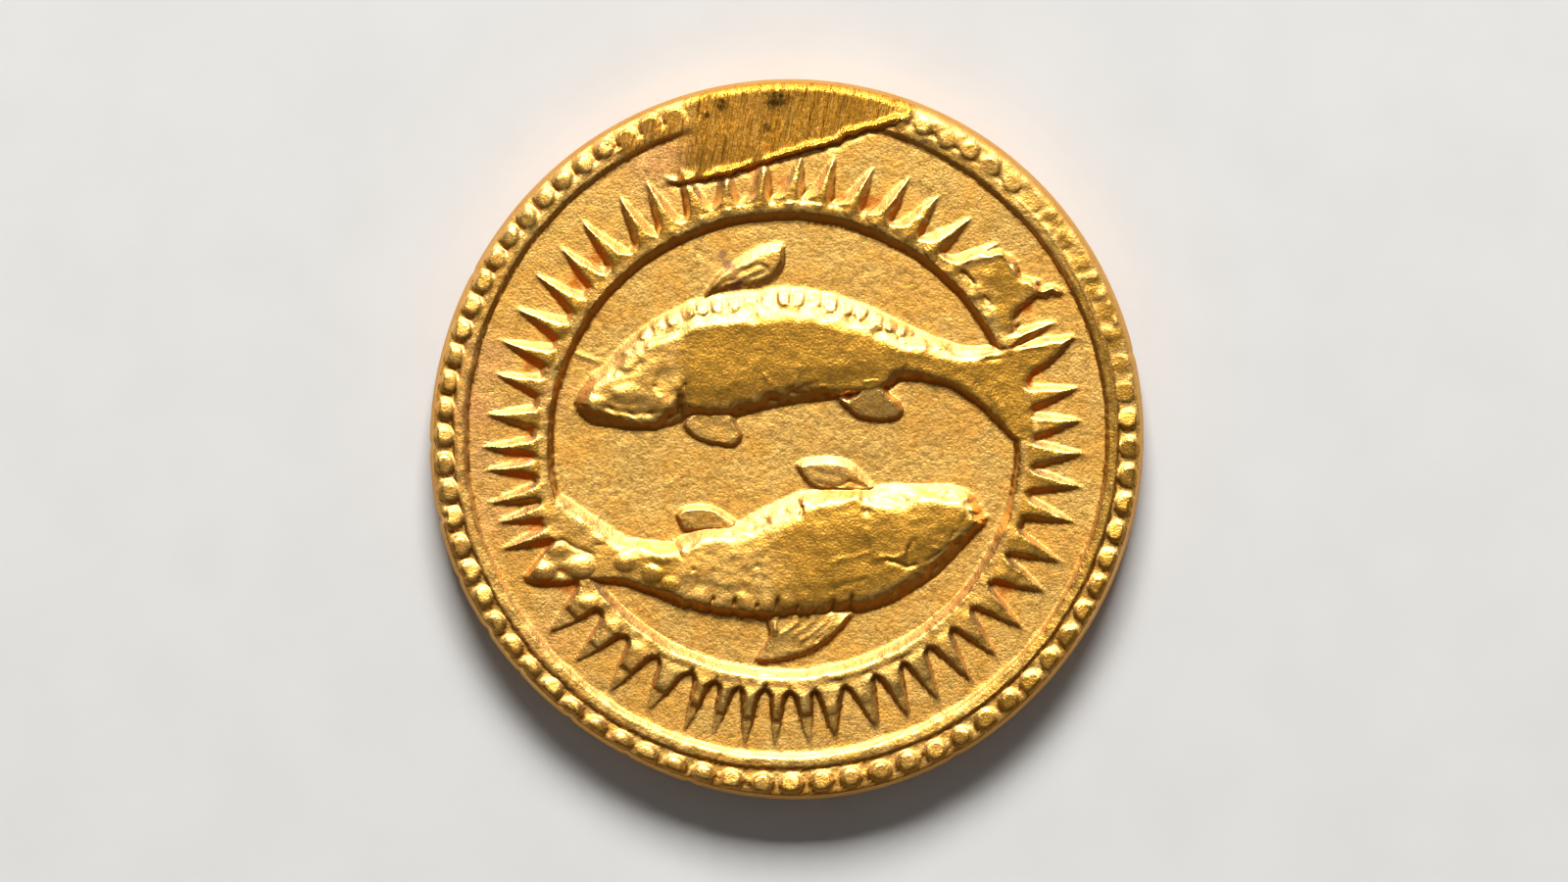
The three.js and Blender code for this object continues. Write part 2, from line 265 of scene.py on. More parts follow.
LOWER_FISH = curve_through([
    (5.8, -2.42, 0.24), (5.68, -2.1, 0.34), (5.38, -1.65, 0.42), (5, -1.42, 0.5), (4.4, -1.33, 0.54),
    (3.2, -1.33, 0.62), (2.7, -1.36, 0.66), (2.3, -1.48, 0.44), (1.8, -1.46, 0.32), (0.6, -1.53, 0.48),
    (0.2, -1.6, 0.66), (-0.9, -2.1, 0.68), (-1.4, -2.4, 0.54), (-2.5, -2.62, 0.4), (-3.25, -2.92, 0.42),
    (-3.42, -3.03, 0.36), (-4.5, -2.92, 0.4), (-5, -2.7, 0.38), (-6.7, -1.6, 0.3), (-7.1, -1.4, 0.2),
    (-7.25, -1.58, 0.1), (-7.33, -2, 0.12), (-7.3, -2.5, 0.2), (-7.15, -2.85, 0.2), (-6.98, -3.05, 0.15),
    (-7.2, -3.35, 0.1), (-7.55, -3.75, 0.12), (-7.76, -4.05, 0.15), (-7.65, -4.3, 0.2), (-7.2, -4.42, 0.22),
    (-6.5, -4.38, 0.2), (-5.9, -4.25, 0.15), (-4.8, -4.32, 0.2), (-3.3, -4.88, 0.25), (-2.3, -5.14, 0.22),
    (-1, -5.32, 0.25), (0.3, -5.34, 0.33), (2.2, -5.08, 0.4), (3.4, -4.65, 0.4), (4.4, -3.98, 0.42),
    (5.3, -3.05, 0.35), (5.8, -2.52, 0.15),
], 4, closed=True)

# Scales are tongues along this stretch of the upper fish's edge, with this many.
SCALED_BACK = slice(19, 53)
SCALE_COUNT = 18
SCALE_RADIUS = 0.235
SCALE_HEIGHT = 0.05

# Fins: the fall across each, and its outline with the width of its slope.
FINS = [
    (0.03, [(-2.46, 4.1, 0.1), (-2.1, 4.78, 0.15), (-1.65, 5.12, 0.2), (-0.78, 5.66, 0.3), (-0.14, 5.7, 0.2),
     (-0.07, 5.4, 0.12), (-0.1, 5.02, 0.18), (-0.35, 4.65, 0.24), (-0.8, 4.44, 0.24), (-2, 4.28, 0.15)]),
    (0.02, [(-3.07, 0.42, 0.1), (-2.9, 0.14, 0.1), (-2.55, -0.08, 0.1), (-1.8, -0.28, 0.1),
     (-1.48, -0.22, 0.1), (-1.32, 0.02, 0.1), (-1.42, 0.35, 0.12), (-1.7, 0.8, 0.12), (-2.7, 0.8, 0.12)]),
    (-0.27, [(1.43, 1.2, 0.1), (1.72, 0.85, 0.1), (2.15, 0.55, 0.12), (2.8, 0.48, 0.12), (3.25, 0.56, 0.12),
     (3.4, 0.82, 0.14), (3.25, 1.1, 0.14), (2.95, 1.35, 0.14), (2.85, 1.8, 0.14), (2.15, 1.8, 0.14),
     (2.02, 1.35, 0.14), (1.75, 1.25, 0.14)]),
    (0.07, [(0.22, -0.78, 0.16), (0.45, -0.6, 0.2), (0.95, -0.52, 0.24), (1.5, -0.56, 0.22),
     (1.95, -0.76, 0.2), (2.3, -1.12, 0.18), (2.6, -1.5, 0.12), (2, -1.6, 0.1), (1.2, -1.5, 0.1),
     (0.72, -1.42, 0.1), (0.42, -1.15, 0.1)]),
    (0.06, [(-3.28, -2.22, 0.1), (-3.05, -2.02, 0.14), (-2.65, -1.92, 0.16), (-2.2, -1.97, 0.16),
     (-1.8, -2.2, 0.16), (-1.45, -2.45, 0.14), (-1.6, -2.7, 0.1), (-2.4, -2.72, 0.1), (-3, -2.76, 0.1),
     (-3.22, -2.5, 0.1)]),
    (0.03, [(-0.52, -5.2, 0.08), (-0.56, -5.8, 0.08), (-0.8, -6.2, 0.1), (-0.96, -6.5, 0.1),
     (-0.62, -6.62, 0.1), (0.2, -6.45, 0.12), (0.9, -6.18, 0.14), (1.4, -5.82, 0.14), (1.76, -5.4, 0.12),
     (1.88, -5.1, 0.1), (0.9, -5, 0.1)]),
]

# Knobs: x, y, half width, half height, rise.
KNOBS = [
    (-7.17, -3.9, 0.38, 0.3, 0.13), (-6.1, -3.78, 0.46, 0.34, 0.11), (-4.75, -3.62, 0.34, 0.3, 0.08),
    (-3.97, -3.98, 0.3, 0.3, 0.075), (-3.45, -4.28, 0.3, 0.26, 0.06), (-3.7, -3.5, 0.3, 0.2, 0.04),
    (-6.75, -3.22, 0.35, 0.28, 0.05), (-5.6, -2.95, 0.25, 0.2, 0.03), (-5.65, 0.98, 0.32, 0.3, 0.07),
    (-3.7, 0.95, 0.38, 0.38, 0.06), (-4.7, 1.3, 0.5, 0.3, 0.04), (5.3, -1.78, 0.16, 0.14, 0.07),
    (5.48, -2.1, 0.2, 0.16, 0.06), (5.72, -2.32, 0.16, 0.12, 0.08), (-0.38, -5.6, 0.09, 0.25, 0.06),
    (-5.83, -4.82, 0.34, 0.22, 0.06), (-5.05, -5.5, 0.26, 0.25, 0.06), (3.35, 3.16, 0.2, 0.2, 0.04),
    (4.5, 2.72, 0.25, 0.14, 0.03),
]

# Cuts (below zero) and raised strokes: half width, height, and the points of the stroke.
STROKES = [
    (0.07, -0.1, (-3.02, 1.55), (-3.1, 1.2), (-3.2, 0.75)),
    (0.06, -0.06, (-5.5, 0.92), (-5, 0.82), (-4.55, 0.72), (-4.1, 0.72), (-3.75, 0.74)),
    (0.04, -0.05, (-5.25, 0.95), (-4.9, 0.6)), (0.04, -0.05, (-4.75, 0.85), (-4.3, 0.5)),
    (0.06, -0.05, (-5.85, 1.55), (-5.4, 1.62), (-5.1, 1.85)),
    (0.07, -0.05, (-5.1, 2.1), (-4.8, 1.85), (-4.45, 1.95), (-4.3, 2.2)),
    (0.05, -0.03, (-4, 1.35), (-3.95, 1.05)), (0.035, -0.05, (-3.68, 1.3), (-3.55, 1.05), (-3.52, 0.8)),
    (0.09, 0.03, (-4.25, 2.72), (-3.6, 2.72), (-3, 3.05), (-2.2, 3.3), (-1.2, 3.42)),
    (0.05, -0.04, (-3.9, 2.9), (-3.3, 3.1), (-2.5, 3.45)),
    (0.05, 0.05, (-6.2, 2.47), (-5.85, 2.36), (-5.55, 2.22)), (0.035, -0.025, (-5.6, 3.52), (-5.25, 3.06)),
    (0.05, 0.03, (-0.7, 1.85), (-0.5, 1.6), (-0.35, 1.5)),
    (0.05, 0.03, (0.35, 2.1), (0.3, 1.85), (0.2, 1.65)),
    (0.04, -0.03, (0.5, 1.55), (0.8, 1.62), (1.1, 1.62), (1.3, 1.5)),
    (0.06, -0.08, (3.05, 1.5), (3.35, 1.75), (3.45, 2.05)), (0.08, -0.03, (2.6, 1.45), (2.65, 1.2)),
    (0.05, 0.04, (5, 1.75), (5.4, 1.45), (5.55, 1.2)),
    (0.05, 0.045, (5.9, 1.35), (6.2, 0.85), (6.4, 0.3), (6.75, 0)),
    (0.04, -0.03, (5.6, 1.65), (5.75, 1.1), (5.9, 0.75)), (0.035, -0.05, (5.72, 2.52), (6.3, 2.6)),
    (0.03, -0.04, (5.75, 2.3), (6.25, 2.35)), (0.03, 0.04, (6.9, 2.62), (7.5, 2.72)),
    (0.06, 0.06, (6.62, 2.72), (6.9, 3.05), (7.3, 3.3), (7.8, 3.38)),
    (0.045, -0.05, (-1.45, 4.5), (-1.1, 4.66), (-0.72, 4.82), (-0.58, 4.98), (-0.78, 5.1), (-1.05, 5),
     (-1.4, 4.86)),
    (0.04, 0.035, (-1.5, 4.62), (-1.15, 4.78), (-0.8, 4.95)),
    (0.04, 0.03, (-1.2, 5.05), (-0.9, 5.2), (-0.6, 5.12), (-0.45, 4.95)),
    (0.05, -0.06, (-2.2, 4.3), (-1.85, 4.55), (-1.5, 4.65)),
    (0.05, -0.03, (-2.9, 5.95), (-2.85, 5.65), (-2.6, 5.45), (-2.45, 5.3)),
    (0.05, -0.06, (0.9, -1.3), (1.35, -1.42), (1.8, -1.28), (2.3, -1.45)),
    (0.05, -0.03, (0.62, -0.85), (1, -1), (1.5, -1.15)), (0.06, 0.035, (1.55, -0.7), (1.6, -1.05)),
    (0.045, -0.1, (0.3, -1.85), (0.42, -2.1), (0.38, -2.25)),
    (0.05, -0.06, (-3.4, -3.1), (-3.25, -3.3), (-3.1, -3.5)), (0.04, 0.06, (-3.35, -2.95), (-3.4, -3.2)),
    (0.05, -0.07, (-6.9, -3), (-6.55, -3), (-6.2, -3.22), (-5.7, -3.42)),
    (0.04, -0.03, (-5.75, -2.9), (-5.55, -3.15), (-5.3, -3.15)),
    (0.1, 0.05, (2.35, -2.75), (2.5, -3.1), (2.64, -3.5)),
    (0.05, 0.04, (2.75, -3.48), (3.1, -3.52), (3.4, -3.42), (3.5, -3.1)),
    (0.05, -0.07, (2.9, -3.58), (3.2, -3.66), (3.5, -3.78), (3.75, -3.72)),
    (0.06, -0.06, (3.68, -3), (3.55, -3.25), (3.56, -3.6)),
    (0.05, -0.06, (4.1, -3.6), (4.45, -3.35), (4.75, -3.05), (4.9, -2.75)),
    (0.035, 0.03, (4.25, -3.2), (4.5, -3.28), (4.75, -3)),
    (0.05, -0.06, (5.2, -1.95), (5.3, -2.2), (5.15, -2.5), (5.2, -2.75)),
    (0.04, -0.06, (5.45, -2.22), (5.75, -2.3)), (0.05, 0.035, (1.3, -3.6), (1.8, -3.5), (2.4, -3.35)),
    (0.05, -0.04, (1.35, -4.45), (1.7, -4.25), (2.3, -4.12)),
    (0.04, -0.025, (-2.1, -4.38), (-1.6, -4.45), (-1, -4.62)), (0.06, 0.03, (-3.05, -1.05), (-3.5, -1.35)),
    (0.035, 0.055, (-0.2, -5.75), (0.3, -5.4)), (0.035, 0.055, (0.15, -5.78), (0.75, -5.35)),
    (0.035, 0.055, (0.35, -5.95), (1.1, -5.4)), (0.035, 0.055, (0.6, -6), (1.35, -5.42)),
    (0.035, 0.055, (0.85, -6), (1.5, -5.4)), (0.035, 0.055, (1.1, -5.92), (1.65, -5.35)),
    (0.05, -0.025, (-0.7, -6.35), (0.1, -6.1), (0.9, -5.85)),
]

STROKE_DEPTH = 0.55

# The cuts between the lobes along the lower fish's belly: x of each at the belly's edge, and its length.
BELLY_CUTS = [
    (-2.86, 0.3), (-2.24, 0.5), (-1.6, 0.55), (-0.95, 0.45), (-0.33, 0.6), (0.22, 0.4), (0.75, 0.3),
    (1.3, 0.5), (1.84, 0.55),
]

# Pits: x, y, radius, depth.
PITS = [
    (2.86, 1.47, 0.1, 0.2), (1.78, 1.2, 0.1, 0.14), (-3.9, 1.5, 0.06, 0.04), (-2.75, -3.85, 0.06, 0.04),
    (-0.9, -3.75, 0.08, 0.05), (-6.65, -3.9, 0.12, 0.06), (2.3, -2.15, 0.1, 0.05), (-2.4, 9.42, 0.1, 0.06),
    (-0.6, 9.1, 0.1, 0.05), (6.85, 3.85, 0.1, 0.05), (-5.9, 1.1, 0.05, 0.03),
]

# The filed stump of a hanging loop: its ragged lower lip, and the ground it covers beyond the lip.
LIP = curve_through([
    (-3.6, 7.5), (-2.9, 7.57), (-2.2, 7.67), (-1.17, 7.93), (-0.3, 8.22), (0.6, 8.47), (1.3, 8.66),
    (1.6, 8.8), (2.2, 9.02), (3, 9.22), (3.6, 9.42),
], 5)
FILED_GROUND = np.vstack([LIP, [(4.5, 11.5), (-5.6, 11.5), (-5.4, 8.7), (-4.3, 7.9)]])

# The smear of flattened metal over the ring.
WORN_PATCH = curve_through([
    (5, 5.05, 0.1), (5.3, 5.3, 0.14), (6.1, 5.5, 0.2), (6.5, 5.38, 0.16), (6.72, 5.05, 0.12),
    (6.85, 4.72, 0.1), (7.2, 4.62, 0.1), (7.55, 4.42, 0.12), (7.95, 4.45, 0.12), (7.95, 4.2, 0.1),
    (7.5, 4.14, 0.1), (7.15, 4, 0.12), (6.75, 3.62, 0.12), (6.75, 3.2, 0.1), (6.35, 2.76, 0.1),
    (6.1, 3.3, 0.1), (5.75, 3.95, 0.1), (5.4, 4.45, 0.1),
], 3, closed=True)

# Films on the metal: x, y, reach, strength.
ROSE_SPOTS = [
    (-3.9, 8.3, 1.2, 0.9), (-9.1, 0.8, 0.7, 0.9), (-9, -0.6, 0.8, 0.7), (-8.8, 2.4, 0.8, 0.8),
    (-8.7, -2.2, 0.9, 0.6), (-2, 8.6, 1.5, 0.5), (-6.9, 1.2, 0.5, 0.8), (-7, -5.9, 0.7, 0.5),
]
STAIN_SPOTS = [
    (-1.9, 5.4, 0.22, 0.9), (-1.75, 5.1, 0.25, 0.9), (-1.6, 4.9, 0.2, 0.7), (-2.05, 5, 0.22, 0.4),
    (-1.5, 4.5, 0.3, 0.9), (-1.95, 4.55, 0.2, 0.5), (0.95, -0.88, 0.3, 0.55), (1.55, -0.9, 0.25, 0.6),
    (-2.75, -2.2, 0.25, 0.25),
]
SOOT_SPOTS = [
    (-2.37, 9.47, 0.18, 1), (-0.6, 9.1, 0.2, 1), (-0.3, 9.85, 0.5, 0.9), (-1.9, 9.75, 0.3, 0.9),
    (0.4, 10, 0.4, 0.6), (-0.9, 9.6, 0.3, 0.5),
]
RED_SPOTS = [
    (7, 3.82, 0.2, 1), (-0.6, 8.5, 0.12, 1), (-2.4, 9.7, 0.12, 0.8), (7.6, 0.16, 0.25, 0.6),
    (7.2, -1.5, 0.3, 0.6), (-3.62, 1.2, 0.05, 1), (3.45, -4.5, 0.15, 0.9), (-1.85, -2.53, 0.12, 0.8),
    (-0.7, -6.55, 0.25, 0.6), (1.2, -1.42, 0.3, 0.5), (2.2, -1.35, 0.2, 0.5), (-6.55, 2.6, 0.3, 0.5),
    (-7.05, 1.5, 0.25, 0.4), (1.15, 7.6, 0.2, 0.4), (3, 7.2, 0.25, 0.4), (-5.95, 1.65, 0.12, 0.6),
]


# ---- Sizes and colours that a user would change ----


def length(name, description, millimetres):
    return FloatProperty(name=name, description=description, default=millimetres * MM, min=0, unit="LENGTH",
                         precision=5)


def colour(name, description, default):
    return FloatVectorProperty(name=name, description=description, default=default, subtype="COLOR",
                               min=0, max=1)


def whole_number(name, description, default):
    return IntProperty(name=name, description=description, default=default, min=12)


class CoinSizes(bpy.types.PropertyGroup):
    flan_radius: length("Flan Radius", "Mean radius of the blank", 10.5)
    inner_field: length("Inner Field", "Height of the sunken field around the fish", 1.58)
    field: length("Outer Field", "Height of the field outside the ring", 1.66)
    ring: length("Ring", "Height of the ring that the rays spring from", 1.85)
    line: length("Line", "Height of the raised line inside the beads", 1.8)
    bead: length("Beads", "Height of an unworn bead", 1.9)
    ray: length("Rays", "Height of a ray where it leaves the ring", 1.89)
    fin: length("Fins", "Height of the fins", 1.75)
    tail: length("Tails", "Height of the tails", 1.86)
    fish: length("Fish", "Height of a fish's worn side", 1.98)
    patch: length("Worn Patch", "Height of the smear over the ring", 1.87)
    bead_circle: length("Bead Circle", "Radius of the circle that the beads stand on", 10.03)
    bead_radius: length("Bead Radius", "Radius of a bead", 0.35)
    bead_count: whole_number("Beads", "Beads in the whole border", 78)
    ray_foot: length("Ray Foot", "Radius at which a ray leaves the ring", 7.15)
    columns: whole_number("Columns", "Mesh columns around the coin, a multiple of four", 784)
    rings: whole_number("Rings", "Mesh rings between the inner field and the edge", 52)
    back_columns: whole_number("Back Columns", "Mesh columns of the plain back, a multiple of four", 320)


class CoinColours(bpy.types.PropertyGroup):
    gold: colour("Gold", "Matt struck gold of the fields", (0.96, 0.565, 0.145))
    gold_warm: colour("Warm Gold", "Gold of the warmer patches of the fields", (0.94, 0.49, 0.1))
    worn: colour("Worn Gold", "Smooth gold of the worn heights", (0.72, 0.355, 0.045))
    # Painted highlight: a paler gold laid on the slopes that face the key light.
    painted_highlight: colour("Pale Gold", "Pale gold of the slopes that have been rubbed", (0.98, 0.59, 0.21))
    shade: colour("Dull Gold", "Gold in the small pits of the grain", (0.66, 0.34, 0.05))
    # Deep gold: painted shade in the hollows and on slopes facing away from the key light, and the dark
    # streaks of the filing and the coin's side.
    deep_and_shade: colour("Deep Gold", "Gold in the recesses", (0.26, 0.1, 0.01))
    # Residue: real orange red dirt in the corners, and painted shade on the ray flanks facing away from the
    # key light.
    residue_and_shade: colour("Residue", "Orange red dirt in the corners", (0.5, 0.13, 0.01))
    rose: colour("Rose", "Rosy film on one side of the field", (0.9, 0.42, 0.16))
    filed: colour("Filed Gold", "Warm brown gold of the filed ground", (0.84, 0.37, 0.035))
    stain: colour("Stain", "Violet brown stain by the back fin", (0.16, 0.07, 0.06))
    soot: colour("Soot", "The black specks on the filed metal", (0.045, 0.025, 0.006))


class StageSettings(bpy.types.PropertyGroup):
    floor: colour("Floor", "Pale studio floor", (0.6, 0.59, 0.57))
    wall: colour("Wall", "Darker wall that the floor turns up into", (0.2, 0.2, 0.2))
    frame_width: length("Frame Width", "Width that the camera sees at the coin", 45.85)
    aim: FloatVectorProperty(name="Aim", description="Camera's place sideways from the middle of the coin",
                             default=(-0.00008, -0.00005), size=2, unit="LENGTH", precision=5)
    world_light: FloatProperty(name="World Light", description="Strength of the light all round",
                               default=0.07, min=0)
    key_power: FloatProperty(name="Key Light", description="Power of the large soft light",
                             default=5.7, unit="POWER")
    fill_power: FloatProperty(name="Fill Light", description="Power of the weak overhead light",
                              default=0.06, unit="POWER")


# ---- The relief: each step raises its own part of the struck side, and says how worn it is ----


def bead_angles(count):
    """Angle of each bead in degrees. They stand widest apart near the foot of the design."""
    even = np.arange(count) * 360 / count
    return BEADS_WIDEST_AT + even + np.degrees(BEAD_SPREAD * np.sin(np.radians(even)))


def cut_die(sizes):
    """What strikes the coin: its sizes in millimetres, and rays and beads a little uneven by hand."""
    values = {name: getattr(sizes, name) for name in CoinSizes.__annotations__}
    die = SimpleNamespace(**{name: value / MM for name, value in values.items() if isinstance(value, float)})
    chance = np.random.default_rng(11)
    die.rays = [(angle + chance.uniform(-0.4, 0.4), chance.uniform(-1, 1), chance.uniform(-1, 1), *shape)
                for first, last, count, *shape in RAY_ARCS for angle in np.linspace(first, last, count)]
    die.beads = [(angle, *chance.uniform(-1, 1, 5)) for angle in bead_angles(sizes.bead_count)]
    return die


def strike(die, x, y):
    """Height and finish of the struck side at the given places."""
    bend_x, bend_y = (0.02 * warp.layered(x, y, 0.8) + 0.012 * warp.at(x, y, 0.15) for warp in WARPS)
    x, y = x + bend_x, y + bend_y
    height, wear = strike_ring(die, x, y)
    for step in (strike_rays, strike_line, strike_beads, strike_fins, strike_upper_fish, strike_lower_fish,
                 strike_knobs, smear_patch):
        height, wear = step(die, x, y, height, wear)
    mottled = 0.005 * FLECKS.layered(x, y, 0.34) + 0.004 * SPECKS.layered(x, y, 0.15, 2)
    height = height + (0.012 * GRAIN.layered(x, y, 2.1, 2) + mottled) * (1 - 0.5 * wear)
    height, filed = file_stump(x, y, height)
    return {"height": round_edge(die, x, y, height), "wear": wear * (1 - filed), "filed": filed}


def lay_on(height, wear, body, share, worn):
    """A raised shape laid over what is there, with its own wear."""
    return np.where(share > 0, np.maximum(body, height), height), np.where(share > 0, worn, wear)


def strike_ring(die, x, y):
    """The two fields and the ring between them, which is a little wider than high."""
    radius, angle = away(x, y, RAY_CENTRE), np.arctan2(y - RAY_CENTRE[1], x - RAY_CENTRE[0])
    above, below = np.clip(np.sin(angle), 0, 1), np.clip(-np.sin(angle), 0, 1)
    sideways = np.cos(angle) ** 2
    inner = (radius - RING_FOOT - 0.19 * sideways - 0.05 * above) / (0.22 + 0.04 * above + 0.06 * below)
    outer = 1 + (RING_TOP + 0.27 * sideways + 0.12 * above - radius) / 0.16
    within = radius < RING_MIDDLE
    ground = np.where(within, die.inner_field, die.field)
    rise = die.ring - ground + 0.022 * GRAIN.layered(x, y, 0.45)
    height = ground + np.maximum(rise * slope_up(np.where(within, inner, outer)), 0)
    right = 1 - smooth_step(50, 150, angle_between(angle, 0))
    flat = np.clip(inner - 1, 0, 1) * np.clip(outer, 0, 1)
    return height, flat * (0.15 + 0.5 * np.maximum(right, 1.5 * above**2))


def strike_rays(die, x, y, height, wear):
    for angle, luck_tip, luck_side, lean, tip_radius, half_width, slope, step in die.rays:
        turn = math.radians(angle)
        foot = polar(die.ray_foot, angle, RAY_CENTRE)
        tip = polar(tip_radius + 0.08 * luck_tip, angle + lean + 0.6 * luck_side, RAY_CENTRE)
        span = np.hypot(*(tip - foot))
        run = (tip - foot) / span
        near = np.flatnonzero(away(x, y, (foot + tip) / 2) < 0.75 * span)
        px, py = x[near] - foot[0], y[near] - foot[1]
        forward = (px * run[0] + py * run[1]) / span
        sideways = np.abs(py * run[0] - px * run[1])
        fillet = 0.16 * np.clip(1 - forward / 0.16, 0, 1) ** 2
        width = half_width * (1 + 0.08 * luck_side) * np.clip(1 - forward, 0, 1) ** 0.85 + 0.03 + fillet
        top = (die.ray - die.field) * (1 + 0.07 * luck_tip) * mix(1, 0.55, smooth_step(0.1, 1, forward))
        top = top * mix(0.8, 1, smooth_step(-0.06, 0.14, forward))
        top = top - step * smooth_step(0.48, 0.55, forward + 0.06 * luck_side)
        top = top + 0.02 * GRAIN.at(x[near], y[near], 0.3)
        steep = mix(min(slope, 1.3), slope, smooth_step(0, 0.5, forward))
        climbed = steep * (width - sideways) / np.maximum(top, 0.02)
        ridge = np.minimum(top * slope_up(climbed), (1 - forward) * span * 0.45)
        height[near] = np.where(forward > -0.12, np.maximum(height[near], die.field + ridge), height[near])
        above = smooth_step(60, 40, angle_between(turn, 75))
        height[near] += 0.06 * above * bump(np.hypot(forward * span + 0.08, sideways), 0.15)
        flat = smooth_step(0.8, 1.1, climbed) * (forward > 0) * (forward < 1)
        worn = 0.15 + 0.6 * smooth_step(35, 80, angle_between(turn, -95))
        wear[near] = np.maximum(wear[near], worn * flat)
    return height, wear


def strike_line(die, x, y, height, wear):
    """The raised line inside the beads, and the lower ground that the beads stand on."""
    radius, angle = away(x, y, LINE_CENTRE), np.arctan2(y, x)
    right = 1 - smooth_step(25, 70, angle_between(angle, RUBBED_SIDE))
    smeared = 1 - smooth_step(20, 48, angle_between(angle, 42))
    rise = die.line - die.field
    inner = (radius - LINE_FOOT - 0.06 * right) / (0.14 - 0.06 * right)
    outer = (LINE_END - radius) / 0.08
    line = (rise + 0.018 * GRAIN.layered(x, y, 0.4)) * slope_up(inner)
    ground = BEAD_GROUND + 0.012 * FLECKS.layered(x, y, 0.3)
    ground = ground + smeared * (0.045 + 0.05 * np.abs(FLECKS.layered(x, y, 0.4)))
    crest = 0.035 * right * bump(radius - LINE_END + 0.1 - 0.03 * SPECKS.at(x, y, 0.5), 0.05)
    beyond = np.maximum(rise * slope_up(outer), ground) + crest
    lifted = die.field + np.where(radius > LINE_MIDDLE, beyond, line)
    flat = np.clip(inner, 0, 1) * np.clip(outer, 0, 1)
    return np.maximum(height, lifted), np.maximum(wear, flat * (0.1 + 0.5 * right))


def strike_beads(die, x, y, height, wear):
    """Beads with steep sides, each cut off by a tilted face of its own where it has been rubbed."""
    ground = die.field + BEAD_GROUND - 0.03
    rise = die.bead - ground
    for angle, luck_out, luck_size, luck_height, tilt_x, tilt_y in die.beads:
        turn = math.radians(angle)
        rubbed_and_highlight = 1 - smooth_step(35, 70, angle_between(turn, RUBBED_SIDE))
        faint = 1 - smooth_step(12, 28, angle_between(turn, 28))
        centre, out = polar(die.bead_circle + 0.03 * luck_out, angle, BEAD_CENTRE), polar(1, angle)
        near = np.flatnonzero(away(x, y, centre) < 1.5 * die.bead_radius)
        size = die.bead_radius * (1 + 0.06 * luck_size)
        px, py = (x[near] - centre[0]) / size, (y[near] - centre[1]) / size
        off = np.hypot((px * out[0] + py * out[1]) / 0.94, py * out[0] - px * out[1])
        left = np.clip(1 - off**2, -1, 1)
        dome = rise * (1 + 0.12 * luck_height) * np.where(left > 0, np.sqrt(np.abs(left)), left)
        face = rise * (mix(0.78, 0.62, rubbed_and_highlight) + 0.22 * tilt_x * px + (0.22 * tilt_y - 0.08) * py)
        shape = np.minimum(dome, face * (1 - 0.5 * faint))
        shape = shape + 0.007 * GRAIN.at(x[near], y[near], 0.2) * (off < 0.8)
        height[near] = np.maximum(height[near], ground + shape)
        wear[near] = np.maximum(wear[near], smooth_step(0.95, 0.7, off) * (0.4 + 0.35 * rubbed_and_highlight))
    return height, wear


def strike_fins(die, x, y, height, wear):
    """Flat fins. Each falls from its upper edge or, where its fall is below nought, rises to it."""
    base = die.inner_field
    for fall, points in FINS:
        outline = curve_through(points, 4, closed=True)
        share = climb(outline, x, y)[0]
        low, high = outline[:, 1].min(), outline[:, 1].max()
        drop = fall * np.clip((high - y if fall > 0 else y - low) / (high - low), 0, 1)
        flecks = 0.01 * FLECKS.layered(x, y, 0.25) * smooth_step(0.8, 1.2, share)
        fin = base + (die.fin - base - drop) * slope_up(share) + flecks
        height, wear = lay_on(height, wear, fin, share, 0.35 * smooth_step(0.8, 1.6, share))
    return height, wear


def fish_body(die, x, y, outline, tail, droop, texture):
    """A fish's body with its uneven slope, how far up the slope each place is, and its wear."""
    share, depth = climb(outline, x, y)
    rag = 0.12 * FLECKS.layered(x, y, 0.33) + 0.05 * SPECKS.at(x, y, 0.12)
    share = share + rag * smooth_step(0.1, 0.6, share)
    top = mix(die.fish, die.tail, tail) - die.inner_field - droop
    body = die.inner_field + top * slope_up(share, 0.3) + 0.06 * smooth_step(0.4, 1.4, depth) * (1 - tail)
    worn = smooth_step(0.8, 1.5, share + 0.15 * FLECKS.layered(x, y, 0.3))
    return body + texture * smooth_step(0.75, 1.1, share), share, worn


def strike_upper_fish(die, x, y, height, wear):
    head = smooth_step(-2.6, -3.4, x)
    texture = 0.016 * GRAIN.layered(x, y, 0.7) + 0.02 * head * FLECKS.layered(x, y, 0.5)
    body, share, worn = fish_body(die, x, y, UPPER_FISH, smooth_step(3.5, 6.0, x), 0.05 * head, texture)
    body = body + scales(x, y) * smooth_step(0.05, 0.3, share)
    return lay_on(height, wear, body, share, worn * (1 - 0.6 * head))


def strike_lower_fish(die, x, y, height, wear):
    """The lower fish, rough towards its tail, with round lobes between the cuts along its belly."""
    tail = smooth_step(-3.2, -5.5, x)
    rough = smooth_step(0.8, -1.0, x) * smooth_step(-3.6, -3.0, x) * smooth_step(-2.6, -3.6, y)
    texture = 0.02 * GRAIN.layered(x, y, 0.8) + 0.011 * rough * SPECKS.layered(x, y, 0.17)
    body, share, worn = fish_body(die, x, y, LOWER_FISH, tail, 0, texture)
    for cut, reach in BELLY_CUTS:
        belly = -5.36 + 0.036 * (cut + 0.3) ** 2
        line = np.array([(-0.03, 0, 0.13), (0, 0.6 * reach, 0.06), (0.05, reach, 0.05)]) + (cut, belly, 0)
        off, width = line_distance(line, x, y, 0.3)
        pillow = np.hypot((x - cut - 0.32) / 0.27, (y - belly - 0.55) / 0.3)
        body = body - 0.065 * bump(off, np.maximum(width, 0.05))
        body = body + 0.045 * np.clip(1 - pillow**2, 0, 1) * smooth_step(1.4, 0, cut)
    return lay_on(height, wear, body, share, 0.9 * worn * (1 - 0.7 * rough) * (1 - 0.6 * tail))


